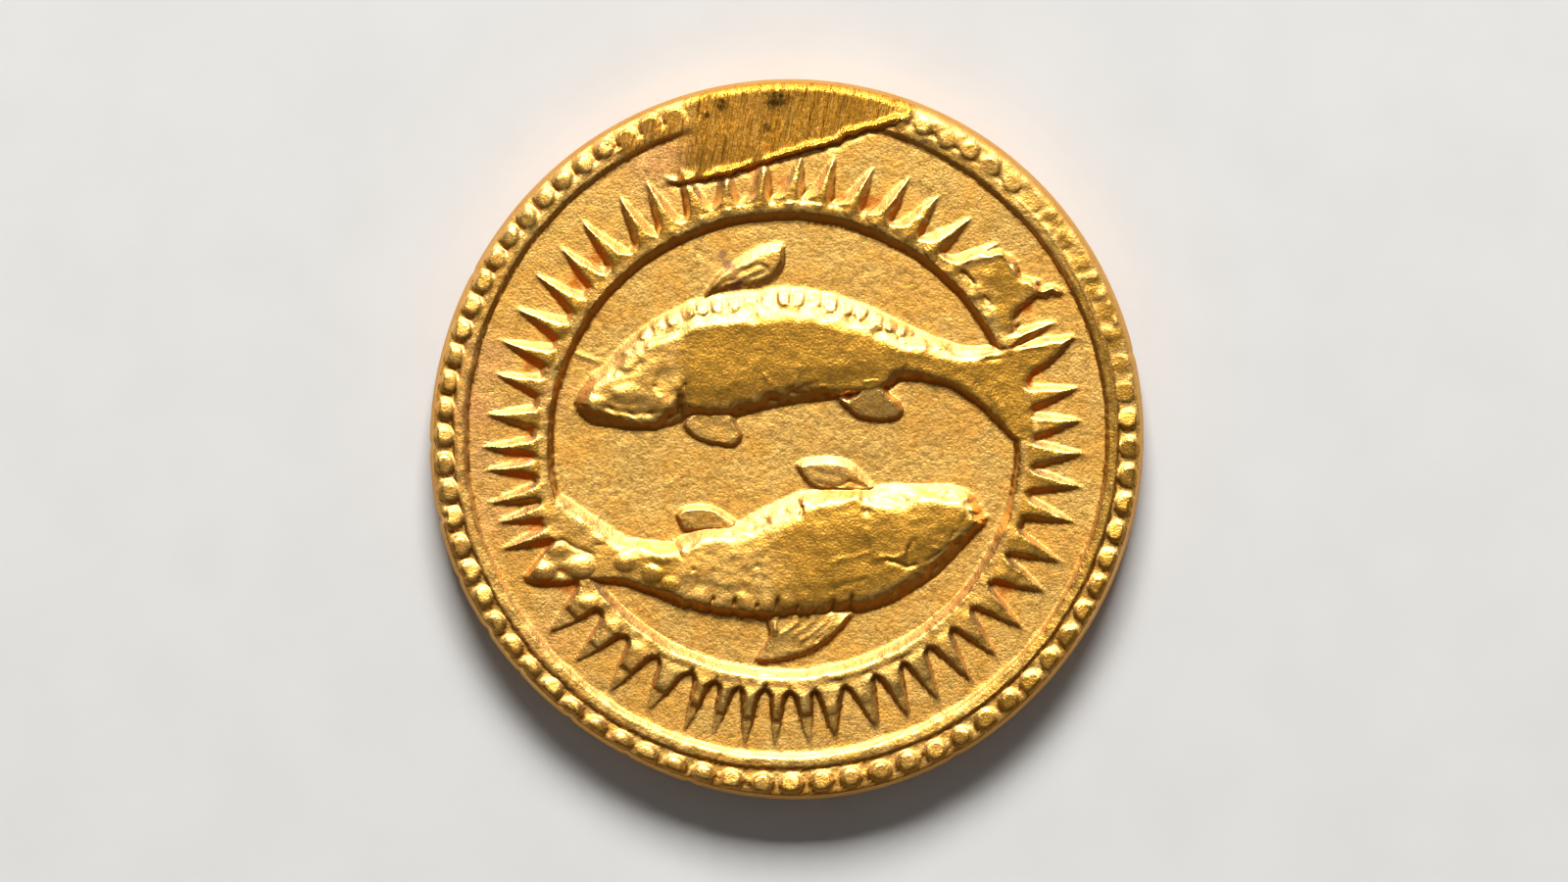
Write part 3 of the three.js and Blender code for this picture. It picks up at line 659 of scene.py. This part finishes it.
def scales(x, y):
    """Overlapping tongues with round ends, which lie down the slope of the upper fish's back."""
    feet, inward = paced(UPPER_FISH[SCALED_BACK], SCALE_COUNT)
    depth = np.maximum(0.76 * feet[:, 2] - SCALE_RADIUS, 0.05)[:, None]
    rise = np.zeros(x.shape)
    for tongue in np.stack([feet[:, :2], feet[:, :2] + inward * depth], axis=1):
        off = line_distance(tongue, x, y, SCALE_RADIUS)[0]
        rise = np.maximum(rise, smooth_step(SCALE_RADIUS, SCALE_RADIUS - 0.12, off))
    return SCALE_HEIGHT * rise


def strike_knobs(die, x, y, height, wear):
    """Knobs, strokes and pits on whatever is there."""
    for knob_x, knob_y, half_width, half_height, rise in KNOBS:
        left = np.clip(1 - ((x - knob_x) / half_width) ** 2 - ((y - knob_y) / half_height) ** 2, 0, 1)
        height = height + rise * left**0.75
    for width, rise, *points in STROKES:
        off = line_distance(np.array(points, float), x, y, 2.5 * width)[0]
        height = height + STROKE_DEPTH * rise * bump(off, 1.2 * width)
    for *place, radius, depth in PITS:
        height = height - depth * bump(away(x, y, place), radius)
    return height, wear


def smear_patch(die, x, y, height, wear):
    """Metal pushed flat over the ring, lumpy and with a ragged edge that stands up on its upper side."""
    rag_x, rag_y = 0.07 * FLECKS.layered(x, y, 0.25), 0.07 * GRAIN.layered(x, y, 0.25)
    depth = depth_inside(WORN_PATCH, x + rag_x, y + rag_y)[0]
    cover = smooth_step(-0.05, 0.18, depth)
    upper = smooth_step(-0.3, 0.4, GRAIN.at(x, y, 0.4) + (y - 4.6) * 0.8)
    lumps = 0.02 * GRAIN.layered(x, y, 0.8) + 0.01 * SPECKS.layered(x, y, 0.3)
    smear = die.patch + lumps + 0.05 * bump(depth - 0.1, 0.09) * upper
    worn = (0.85 + 0.4 * FLECKS.layered(x, y, 0.4)) * smooth_step(0.05, 0.3, depth)
    return mix(height, np.maximum(height - 0.1, smear), cover), np.maximum(wear * (1 - cover), worn)


def file_stump(x, y, height):
    """The ground left where a hanging loop was filed away, and the burr along its lower edge."""
    ragged_y = y + 0.04 * GRAIN.layered(x, y, 0.3)
    depth = depth_inside(FILED_GROUND, x, ragged_y)[0]
    from_lip = line_distance(LIP, x, ragged_y, 1.0)[0]
    inside, filled = smooth_step(-0.05, 0.03, depth), smooth_step(-3.6, -2.4, x)
    slope, leaned = 1.83 - 0.045 * (y - 7.6), x - 0.16 * y
    strokes = 0.013 * FLECKS.at(leaned, 0.05 * y, 0.1) + 0.009 * GRAIN.at(leaned, 0.08 * y, 0.055)
    strokes = strokes + 0.012 * GRAIN.layered(x, y, 1.1, 2)
    ragged = np.clip(0.7 + 0.7 * FLECKS.layered(x, y, 0.3), 0, 1.4)
    ends = smooth_step(-3.7, -3.0, x) * smooth_step(3.75, 3.2, x) * (from_lip < 0.5)
    burr = 0.14 * ragged * np.minimum(1, 1.5 * bump(depth - 0.04, 0.08)) - 0.05 * bump(depth + 0.12, 0.07)
    ground = mix(np.minimum(height, slope), slope, filled) + strokes
    filed = inside * np.maximum(filled, 0.8 * smooth_step(1.7, 1.8, height))
    return mix(height, ground, inside) + burr * ends, filed


def round_edge(die, x, y, height):
    """The shoulder of the edge, rubbed to a broad bright face on one stretch."""
    angle = np.arctan2(y, x)
    inside = die.flan_radius - STRUCK_GAP + edge_wave(angle) - np.hypot(x, y)
    rubbed_and_highlight = bump(angle_between(angle, 78), 38)
    shoulder = 0.06 * np.clip(1 - inside / 0.08, 0, 1) ** 2
    height = mix(height, np.minimum(height, EDGE_HEIGHT), smooth_step(0.15, 0.03, inside))
    return height - shoulder * (1 - rubbed_and_highlight) - rubbed_and_highlight * 0.4 * np.clip(0.2 - inside, 0, 1)


def edge_wave(angle):
    """How far the flan's edge stands out at each angle in radians."""
    wave = sum(height * np.cos(waves * (angle - math.radians(crest))) for waves, height, crest in EDGE_WAVES)
    return wave - sum(depth * bump(angle_between(angle, at), width) for at, depth, width in EDGE_NICKS)


# ---- The mesh ----

# Radius of the middle, which is a grid where the rest is rings.
INNER_DISC = 6.6

# The coin's side from the struck face down to the rim it lies on: how far out from its radius, and how high.
SIDE_PROFILE = [
    (-0.09, 1.48), (-0.06, 1.32), (-0.03, 1.15), (-0.01, 1.0), (0, 0.85), (-0.005, 0.6), (-0.02, 0.4),
    (-0.07, 0.2), (-0.2, 0.06), (-0.45, 0), (-1.15, 0), (-1.3, 0.08),
]

# The step in to the plain back as radius and height, and the back itself.
BACK_BANDS = [(8.98, 0.09), (8.92, 0.13), (8.8, 0.13), (8.72, 0.1)]
BACK_FIELD = 8.6
BACK_HEIGHT = 0.1

# The map of the relief: its reach and cell, and how hard its detail pulls the mesh in, over how many rounds.
MAP_REACH = 11
MAP_CELL = 0.03
DETAIL_PULL = 2.5
RELAX_ROUNDS = 60


def spread(values, steps):
    """Each value averaged with its neighbours, at each of these distances in turn."""
    for step in steps:
        for axis in (0, 1):
            values = (np.roll(values, step, axis) + values + np.roll(values, -step, axis)) / 3
    return values


class ReliefMap:
    """The relief's heights on a square raster, what they say about bends and hollows, and how each slope
    faces the key light, for painted highlight and shade.
    """

    def __init__(self, die):
        self.half = int(MAP_REACH / MAP_CELL)
        line = np.arange(-self.half, self.half + 1) * MAP_CELL
        x, y = np.meshgrid(line, line)
        height = strike(die, x.ravel(), y.ravel())["height"].reshape(x.shape)
        bend = spread(np.abs(spread(height, [1]) - height), [1, 1])
        self.pull = 1 + DETAIL_PULL * smooth_step(0.08, 0.7, np.clip(bend / np.percentile(bend, 97), 0, 1))
        self.hollow = spread(height, [1, 2, 4]) - height
        self.low_ground = spread(height, [2, 4, 8]) - height
        rise_up, rise_across = ((np.roll(height, -1, axis) - np.roll(height, 1, axis)) / (2 * MAP_CELL)
                                for axis in (0, 1))
        # How much each slope faces away from the key light, read for painted shade.
        self.shaded_slope = rise_up + 0.4 * np.abs(rise_across)
        # How much each slope faces the key light, read for the painted highlight.
        self.rubbed_and_highlight = -rise_up

    def read(self, name, x, y):
        column, row = (np.clip(np.rint(place / MAP_CELL).astype(int) + self.half, 0, 2 * self.half)
                       for place in (x, y))
        return getattr(self, name)[row, column]


def set_places(verts, places):
    for vert, place in zip(verts, places):
        vert.co = Vector(place)


def relaxed(places, edges, pinned, pull):
    """Places drawn along their edges to where pull is large, so that small forms get more of the mesh."""
    start, end = edges.T
    both, other = np.concatenate([start, end]), np.concatenate([end, start])
    for _ in range(RELAX_ROUNDS):
        middle = (places[start] + places[end]) / 2
        weight = np.tile(pull(*middle.T), 2)
        total = np.bincount(both, weight)
        moved = [np.bincount(both, weight * column[other]) / total for column in places.T]
        places = np.where(pinned[:, None], places, mix(places, np.column_stack(moved), 0.8))
    return places


def rim(edges):
    """The open edges among these, as a loop."""
    return [edge for edge in edges if edge.is_boundary]


def add_band(bm, loop, place):
    """Extrudes a loop by one band. Place gives the new radius and height from the angle and old height."""
    made = bmesh.ops.extrude_edge_only(bm, edges=loop)["geom"]
    for vert in (item for item in made if isinstance(item, bmesh.types.BMVert)):
        angle = math.atan2(vert.co.y, vert.co.x)
        radius, height = place(angle, vert.co.z)
        vert.co = Vector((math.cos(angle) * radius, math.sin(angle) * radius, height))
    return [item for item in made if isinstance(item, bmesh.types.BMEdge)]


def add_disc(bm, segments, radius):
    """A square grid rounded to a disc, evenly around its edge. Gives its corners and its edge loop."""
    verts = bmesh.ops.create_grid(bm, x_segments=segments, y_segments=segments, size=1)["verts"]
    x, y = np.tan(np.array([vert.co[:2] for vert in verts]) * math.pi / 4).T
    size = np.maximum(np.abs(x), np.abs(y))
    rounder = radius * mix(1.0, size / np.maximum(np.hypot(x, y), 1e-9), size**2)
    set_places(verts, np.column_stack([x * rounder, y * rounder, 0 * x]))
    return verts, rim(dict.fromkeys(edge for vert in verts for edge in vert.link_edges))


def strike_face(bm, sizes, die, relief_map):
    """The struck side: a disc and rings out to the edge, drawn towards the detail, then raised."""
    edge = die.flan_radius - STRUCK_GAP
    loop = add_disc(bm, sizes.columns // 4, INNER_DISC)[1]
    for share in np.arange(1, sizes.rings + 1) / sizes.rings:
        loop = add_band(bm, loop, lambda angle, height: (mix(INNER_DISC, edge + edge_wave(angle), share), 0))
    bm.verts.index_update()
    places = np.array([vert.co[:2] for vert in bm.verts])
    edges = np.array([[vert.index for vert in edge.verts] for edge in bm.edges])
    pinned = np.zeros(len(places), bool)
    pinned[[vert.index for edge in loop for vert in edge.verts]] = True
    places = relaxed(places, edges, pinned, lambda x, y: relief_map.read("pull", x, y))
    finish = strike(die, *places.T)
    set_places(bm.verts, np.column_stack([places, finish["height"]]))
    return loop, places, finish


def turn_side(bm, loop, edge):
    """The rounded side, the flat rim the coin lies on and the step in to the plain back."""
    loop = add_band(bm, loop, lambda angle, height: (edge - 0.12 + edge_wave(angle), height - 0.04))
    for out, level in SIDE_PROFILE:
        swing = 1 + out / 2
        loop = add_band(bm, loop, lambda angle, height: (edge + out + edge_wave(angle) * swing, level))
    for band in BACK_BANDS:
        loop = add_band(bm, loop, lambda angle, height: band)
    return loop


def close_back(bm, loop, columns):
    """The plain back, a little uneven, joined to the side."""
    verts, back_loop = add_disc(bm, columns // 4, BACK_FIELD)
    x, y = np.array([vert.co[:2] for vert in verts]).T
    height = BACK_HEIGHT + 0.012 * Grain(21).layered(x, y, 2.6) + 0.03 * smooth_step(8.6, 2, np.hypot(x, y))
    set_places(verts, np.column_stack([x, y, height]))
    bmesh.ops.bridge_loops(bm, edges=loop + back_loop)


def seat_in_box(bm):
    """Moves the coin into the place and size that its solid has."""
    places = np.array([vert.co[:] for vert in bm.verts])
    low, high = places.min(0), places.max(0)
    goal_low, goal_high = np.array(COIN_LOW), np.array(COIN_HIGH)
    scale = (goal_high - goal_low) / (high - low)
    scale[2] = min(MM, scale[2])
    set_places(bm.verts, goal_low + (places - low) * scale)


# ---- Finish: what the metal is like at each corner of the mesh, with painted highlight and shade ----


def spotted(x, y, spots):
    """The strongest of a number of soft spots at each place."""
    return np.maximum.reduce([strength * bump(away(x, y, place), reach) for *place, reach, strength in spots])


def finish_masks(relief_map, places, finish):
    """Masks from 0 to 1 that the material reads, one value for each corner of the struck side, some of them
    for painted highlight and shade.
    """
    x, y = places.T
    hollow, low_ground, shaded_slope, rubbed_and_highlight = (relief_map.read(name, x, y) for name in
                                       ("hollow", "low_ground", "shaded_slope", "rubbed_and_highlight"))
    from_rays = away(x, y, RAY_CENTRE)
    patchy = 0.5 + 0.5 * GRAIN.layered(x, y, 1.1)
    by_rays = smooth_step(7.1, 7.4, from_rays) * smooth_step(9.0, 7.6, from_rays) * smooth_step(-6, -4, y)
    corners = smooth_step(0.015, 0.06, low_ground) * smooth_step(0.3, 0.7, patchy) * (0.2 + 0.5 * by_rays)
    # Painted shade: residue colour on the ray flanks that face away from the key light.
    shade_under_rays = smooth_step(0.3, 0.8, shaded_slope) * by_rays * smooth_step(0.2, 0.6, patchy)
    return {
        "wear": finish["wear"],
        "filed": finish["filed"],
        # Painted shade in the hollows, almost only where the slope faces away from the key light.
        "hollow": np.clip(hollow / 0.035, 0, 1) * (0.05 + 0.95 * smooth_step(0, 0.35, shaded_slope)),
        "crest": np.clip(-hollow / 0.05, 0, 1),
        # Painted shade on the slopes that face away from the key light.
        "shaded_slope": np.clip(shaded_slope, 0, 1),
        # Painted highlight on the slopes that face the key light.
        "rubbed_and_highlight": np.clip(rubbed_and_highlight, 0, 1),
        # Real residue in the corners and red spots, with painted shade on the ray flanks away from the key
        # light.
        "dirt_and_shade": np.clip(np.maximum.reduce([corners, shade_under_rays, spotted(x, y, RED_SPOTS)]), 0, 1),
        "rose": spotted(x, y, ROSE_SPOTS) * (0.6 + 0.4 * patchy),
        "stain": spotted(x, y, STAIN_SPOTS) * (0.8 + 0.2 * patchy),
        "soot": spotted(x, y, SOOT_SPOTS) * (0.6 + 0.4 * patchy),
    }


def store_masks(mesh, masks, flan_radius):
    """Stores the struck side's masks, and one for the steep side of the coin."""
    places = np.array([vert.co[:] for vert in mesh.vertices])
    outward = away(*places[:, :2].T, (places.max(0) + places.min(0)) / 2)
    masks["edge"] = smooth_step(flan_radius - 0.22 * MM, flan_radius - 0.1 * MM, outward)
    for name, values in masks.items():
        whole = np.zeros(len(places), np.float32)
        whole[:len(values)] = values
        mesh.attributes.new(name, "FLOAT", "POINT").data.foreach_set("value", whole)


# ---- Shader tools ----


class Value:
    """A shader socket that takes part in arithmetic."""

    def __init__(self, shader, socket):
        self.shader, self.socket = shader, socket

    def join(self, operation, *sides, clamp=False):
        sockets = dict(enumerate(sides))
        return self.shader.node("ShaderNodeMath", {"operation": operation, "use_clamp": clamp}, sockets)

    def __add__(self, other):
        return self.join("ADD", self, other)

    __radd__ = __add__

    def __sub__(self, other):
        return self.join("SUBTRACT", self, other)

    def __rsub__(self, other):
        return self.join("SUBTRACT", other, self)

    def __mul__(self, other):
        return self.join("MULTIPLY", self, other)

    __rmul__ = __mul__

    def clamped(self):
        return self.join("ADD", self, 0.0, clamp=True)


class Shader:
    """The nodes of one material."""

    def __init__(self, name):
        self.material = bpy.data.materials.new(name)
        self.material.use_nodes = True
        self.tree = self.material.node_tree
        self.tree.nodes.clear()

    def node(self, kind, settings, sockets, output=0):
        """Adds a node with its settings and socket values or links, and gives one of its outputs."""
        node = self.tree.nodes.new(kind)
        for key, setting in settings.items():
            setattr(node, key, setting)
        for key, value in sockets.items():
            if isinstance(value, Value):
                self.tree.links.new(value.socket, node.inputs[key])
            else:
                node.inputs[key].default_value = value
        return Value(self, node.outputs[output]) if len(node.outputs) else None

    def mask(self, name):
        return self.node("ShaderNodeAttribute", {"attribute_name": name}, {}, "Fac")

    def place(self):
        return self.node("ShaderNodeTexCoord", {}, {}, "Object")

    def noise(self, size, detail, roughness=0.5, stretch=(1, 1, 1), turn=0.0):
        """Noise from 0 to 1 whose features are about this many millimetres wide."""
        place = self.node("ShaderNodeMapping", {"vector_type": "TEXTURE"}, {
            "Vector": self.place(), "Scale": stretch, "Rotation": (0, 0, math.radians(turn))})
        return self.node("ShaderNodeTexNoise", {}, {
            "Vector": place, "Scale": 1 / (size * MM), "Detail": detail, "Roughness": roughness}, "Fac")

    def window(self, value, low, high):
        """Zero below low, one above high, smooth between."""
        return self.node("ShaderNodeMapRange", {"interpolation_type": "SMOOTHSTEP"}, {
            "Value": value, "From Min": low, "From Max": high})

    def blend(self, amount, a, b):
        """Colour a turned into colour b by the amount."""
        paint = lambda colour: colour if isinstance(colour, Value) else (*colour, 1)
        return self.node("ShaderNodeMix", {"data_type": "RGBA"}, {0: amount, 6: paint(a), 7: paint(b)}, 2)

    def bumped(self, height, distance):
        return self.node("ShaderNodeBump", {}, {"Height": height, "Distance": distance * MM, "Strength": 1.0})

    def finished(self, sockets):
        surface = self.node("ShaderNodeBsdfPrincipled", {}, sockets)
        self.node("ShaderNodeOutputMaterial", {}, {"Surface": surface})
        return self.material


def gold_material(colours):
    """Matt struck gold with a fine grain, smoother and deeper in tone where it is worn, with painted
    highlight on slopes facing the key light and painted shade in hollows and on slopes facing away.
    """
    gold = Shader("struck_gold")
    wear, filed, hollow, crest, dirt_and_shade, rose, stain, soot, shaded_slope, rubbed_and_highlight, edge = (gold.mask(name) for name in (
        "wear", "filed", "hollow", "crest", "dirt_and_shade", "rose", "stain", "soot", "shaded_slope", "rubbed_and_highlight", "edge"))
    cloud = gold.noise(1.1, 3, 0.6)
    blotch = gold.noise(0.5, 3, 0.65)
    speckle = gold.noise(0.16, 2, 0.6)
    fine = gold.noise(0.07, 2, 0.6)
    streak = gold.noise(0.1, 3, 0.6, stretch=(1, 20, 1), turn=-9)
    speckled = lambda value, share, low, high: gold.window(value + share * (speckle - 0.5), low, high)

    worn = speckled(wear, 0.9, 0.2, 0.9)
    base = colours.gold
    for amount, tone in (
        (gold.window(cloud, 0.4, 0.62), colours.gold_warm),
        (gold.window(blotch, 0.48, 0.7) * 0.42, colours.shade),
        (worn, colours.worn),
        # Painted highlight: paler gold on the slopes that face the key light.
        (speckled(rubbed_and_highlight, 0.3, 0.15, 0.5) * 0.8, colours.painted_highlight),
        (rose * 0.8, colours.rose),
        (gold.window(fine + speckle, 1.08, 0.75) * 0.45, colours.shade),
        # Painted shade: deep gold in the hollows.
        (speckled(hollow, 0.5, 0.1, 0.9) * 0.85, colours.deep_and_shade),
        # Painted shade: deep gold on the slopes that face away from the key light.
        (gold.window(shaded_slope + 0.4 * (cloud - 0.5), 0.25, 0.75) * 0.8, colours.deep_and_shade),
        (filed * (0.6 + 0.4 * gold.window(streak, 0.38, 0.56)), colours.filed),
        (filed * gold.window(streak + 0.3 * (cloud - 0.5), 0.56, 0.7) * 0.8, colours.deep_and_shade),
        # Real residue in the corners, and painted shade on the ray flanks facing away from the key light.
        (speckled(dirt_and_shade, 0.5, 0.3, 0.8) * 0.9, colours.residue_and_shade),
        (speckled(stain, 0.8, 0.2, 0.85) * 0.75, colours.stain),
        (speckled(soot, 1.2, 0.3, 0.8) * 0.9, colours.soot),
        (edge * (0.1 + 0.5 * speckle), colours.deep_and_shade),
    ):
        base = gold.blend(amount, base, tone)

    rough = 0.5 - 0.06 * worn - 0.1 * filed - 0.12 * crest + 0.2 * (stain + dirt_and_shade + edge)
    rough = rough + 0.2 * (speckle - 0.5) + 0.3 * (fine - 0.5) + 0.12 * (cloud - 0.5)
    grain = gold.bumped((fine + 0.9 * speckle) * (1 - 0.6 * filed) + 5.5 * streak * filed, 0.014)
    return gold.finished({
        "Base Color": base,
        "Metallic": 1.0,
        "Roughness": rough.clamped(),
        "Normal": grain,
    })


# ---- The stage, in metres ----

FLOOR_RADIUS = 0.4
FLOOR_DROP = -0.00002
SWEEP_RADIUS = 0.2
WALL_HEIGHT = 0.45
SENSOR = 36
LENS = 300
KEY_PLACE = (0, 0.42, 0.37)
KEY_SIZE = (0.26, 0.2)
FILL_PLACE = (0, -0.02, 0.4)
FILL_SIZE = (0.4, 0.4)


def area_light(name, place, aim, width, height, power):
    light = bpy.data.lights.new(name, "AREA")
    light.shape = "RECTANGLE"
    light.size = width
    light.size_y = height
    light.energy = power
    lamp = bpy.data.objects.new(name, light)
    lamp.location = place
    lamp.rotation_euler = (aim - place).to_track_quat("-Z", "Y").to_euler()
    lamp.visible_camera = False
    bpy.context.collection.objects.link(lamp)


def finish_piece(bm, name):
    """Makes a bmesh into a smooth object."""
    mesh = bpy.data.meshes.new(name)
    bm.to_mesh(mesh)
    bm.free()
    mesh.shade_smooth()
    piece = bpy.data.objects.new(name, mesh)
    bpy.context.collection.objects.link(piece)
    return piece


def backdrop():
    """A round floor that turns up into a low wall."""
    bm = bmesh.new()
    bmesh.ops.create_circle(bm, segments=96, radius=FLOOR_RADIUS, cap_ends=True)
    bm.transform(Matrix.Translation((0, 0, FLOOR_DROP)))
    loop = rim(bm.edges)
    for degrees in range(10, 91, 10):
        out, up = polar(SWEEP_RADIUS, degrees - 90, (FLOOR_RADIUS, SWEEP_RADIUS))
        loop = add_band(bm, loop, lambda angle, height: (out, up))
    add_band(bm, loop, lambda angle, height: (FLOOR_RADIUS + SWEEP_RADIUS, WALL_HEIGHT))
    return finish_piece(bm, "studio_floor")


def floor_material(floor, wall):
    """Pale paper that grows darker where it turns up."""
    paper = Shader("pale_floor")
    grain = paper.window(paper.noise(3, 3), 0.3, 0.7)
    tone = paper.blend(grain, floor, tuple(0.97 * part for part in floor))
    up = paper.node("ShaderNodeSeparateXYZ", {}, {0: paper.place()}, "Z")
    tone = paper.blend(paper.window(up, 0, SWEEP_RADIUS), tone, wall)
    return paper.finished({"Base Color": tone, "Roughness": 0.8})


# ---- Operators ----


class COIN_OT_strike(bpy.types.Operator):
    """Strikes the gold coin in place of its plain solid"""

    bl_idname = "coin.strike"
    bl_label = "Strike Gold Coin"

    def execute(self, context):
        sizes = context.scene.coin_sizes
        die = cut_die(sizes)
        relief_map = ReliefMap(die)
        bm = bmesh.new()
        loop, places, finish = strike_face(bm, sizes, die, relief_map)
        loop = turn_side(bm, loop, die.flan_radius)
        close_back(bm, loop, sizes.back_columns)
        bmesh.ops.recalc_face_normals(bm, faces=bm.faces)
        seat_in_box(bm)
        coin = finish_piece(bm, "struck_gold_coin")
        store_masks(coin.data, finish_masks(relief_map, places, finish), sizes.flan_radius)
        coin.data.materials.append(gold_material(context.scene.coin_colours))
        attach(coin, "root")
        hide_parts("coin")
        return {"FINISHED"}


class COIN_OT_stage(bpy.types.Operator):
    """Sets the coin on a pale floor with soft light and a camera looking straight down"""

    bl_idname = "coin.stage"
    bl_label = "Set Stage"

    def execute(self, context):
        scene, settings = context.scene, context.scene.coin_stage
        floor = backdrop()
        floor.data.materials.append(floor_material(settings.floor, settings.wall))
        floor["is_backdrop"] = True

        middle = (COIN_LOW + COIN_HIGH) / 2
        face = Vector((middle.x, middle.y, COIN_HIGH.z))
        area_light("key_light", face + Vector(KEY_PLACE), face, *KEY_SIZE, settings.key_power)
        area_light("fill_light", face + Vector(FILL_PLACE), face, *FILL_SIZE, settings.fill_power)
        world = bpy.data.worlds.new("studio")
        world.use_nodes = True
        background = world.node_tree.nodes["Background"]
        background.inputs["Color"].default_value = (1, 1, 1, 1)
        background.inputs["Strength"].default_value = settings.world_light
        scene.world = world
        scene.view_settings.view_transform = "Standard"

        camera = bpy.data.cameras.new("camera")
        camera.lens = LENS
        camera.sensor_width = SENSOR
        camera.clip_start = 0.001
        camera.clip_end = 10
        eye = bpy.data.objects.new("camera", camera)
        eye.location = face + Vector((*settings.aim, settings.frame_width * LENS / SENSOR))
        context.collection.objects.link(eye)
        scene.camera = eye
        return {"FINISHED"}


class COIN_PT_panel(bpy.types.Panel):
    """Lists the coin's operators and settings"""

    bl_idname = "COIN_PT_panel"
    bl_label = "Struck Gold Coin"
    bl_space_type = "VIEW_3D"
    bl_region_type = "UI"
    bl_category = "Coin"

    def draw(self, context):
        for operator in OPERATORS:
            self.layout.operator(operator.bl_idname)
        for name, group in SETTINGS.items():
            settings = getattr(context.scene, name)
            box = self.layout.box()
            for key in group.__annotations__:
                box.prop(settings, key)


OPERATORS = (COIN_OT_strike, COIN_OT_stage)
SETTINGS = {"coin_sizes": CoinSizes, "coin_colours": CoinColours, "coin_stage": StageSettings}


def register():
    for group in (*SETTINGS.values(), *OPERATORS, COIN_PT_panel):
        bpy.utils.register_class(group)
    for name, group in SETTINGS.items():
        setattr(bpy.types.Scene, name, PointerProperty(type=group))


def unregister():
    for name in SETTINGS:
        delattr(bpy.types.Scene, name)
    for group in (COIN_PT_panel, *reversed(OPERATORS), *reversed(SETTINGS.values())):
        bpy.utils.unregister_class(group)


def main():
    register()
    bpy.ops.coin.strike()
    bpy.ops.coin.stage()
    boxes = {
        "cad": [list(corner) for corner in CAD_BOX],
        "visual": [list(corner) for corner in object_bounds()],
    }


if __name__ == "__main__":
    main()
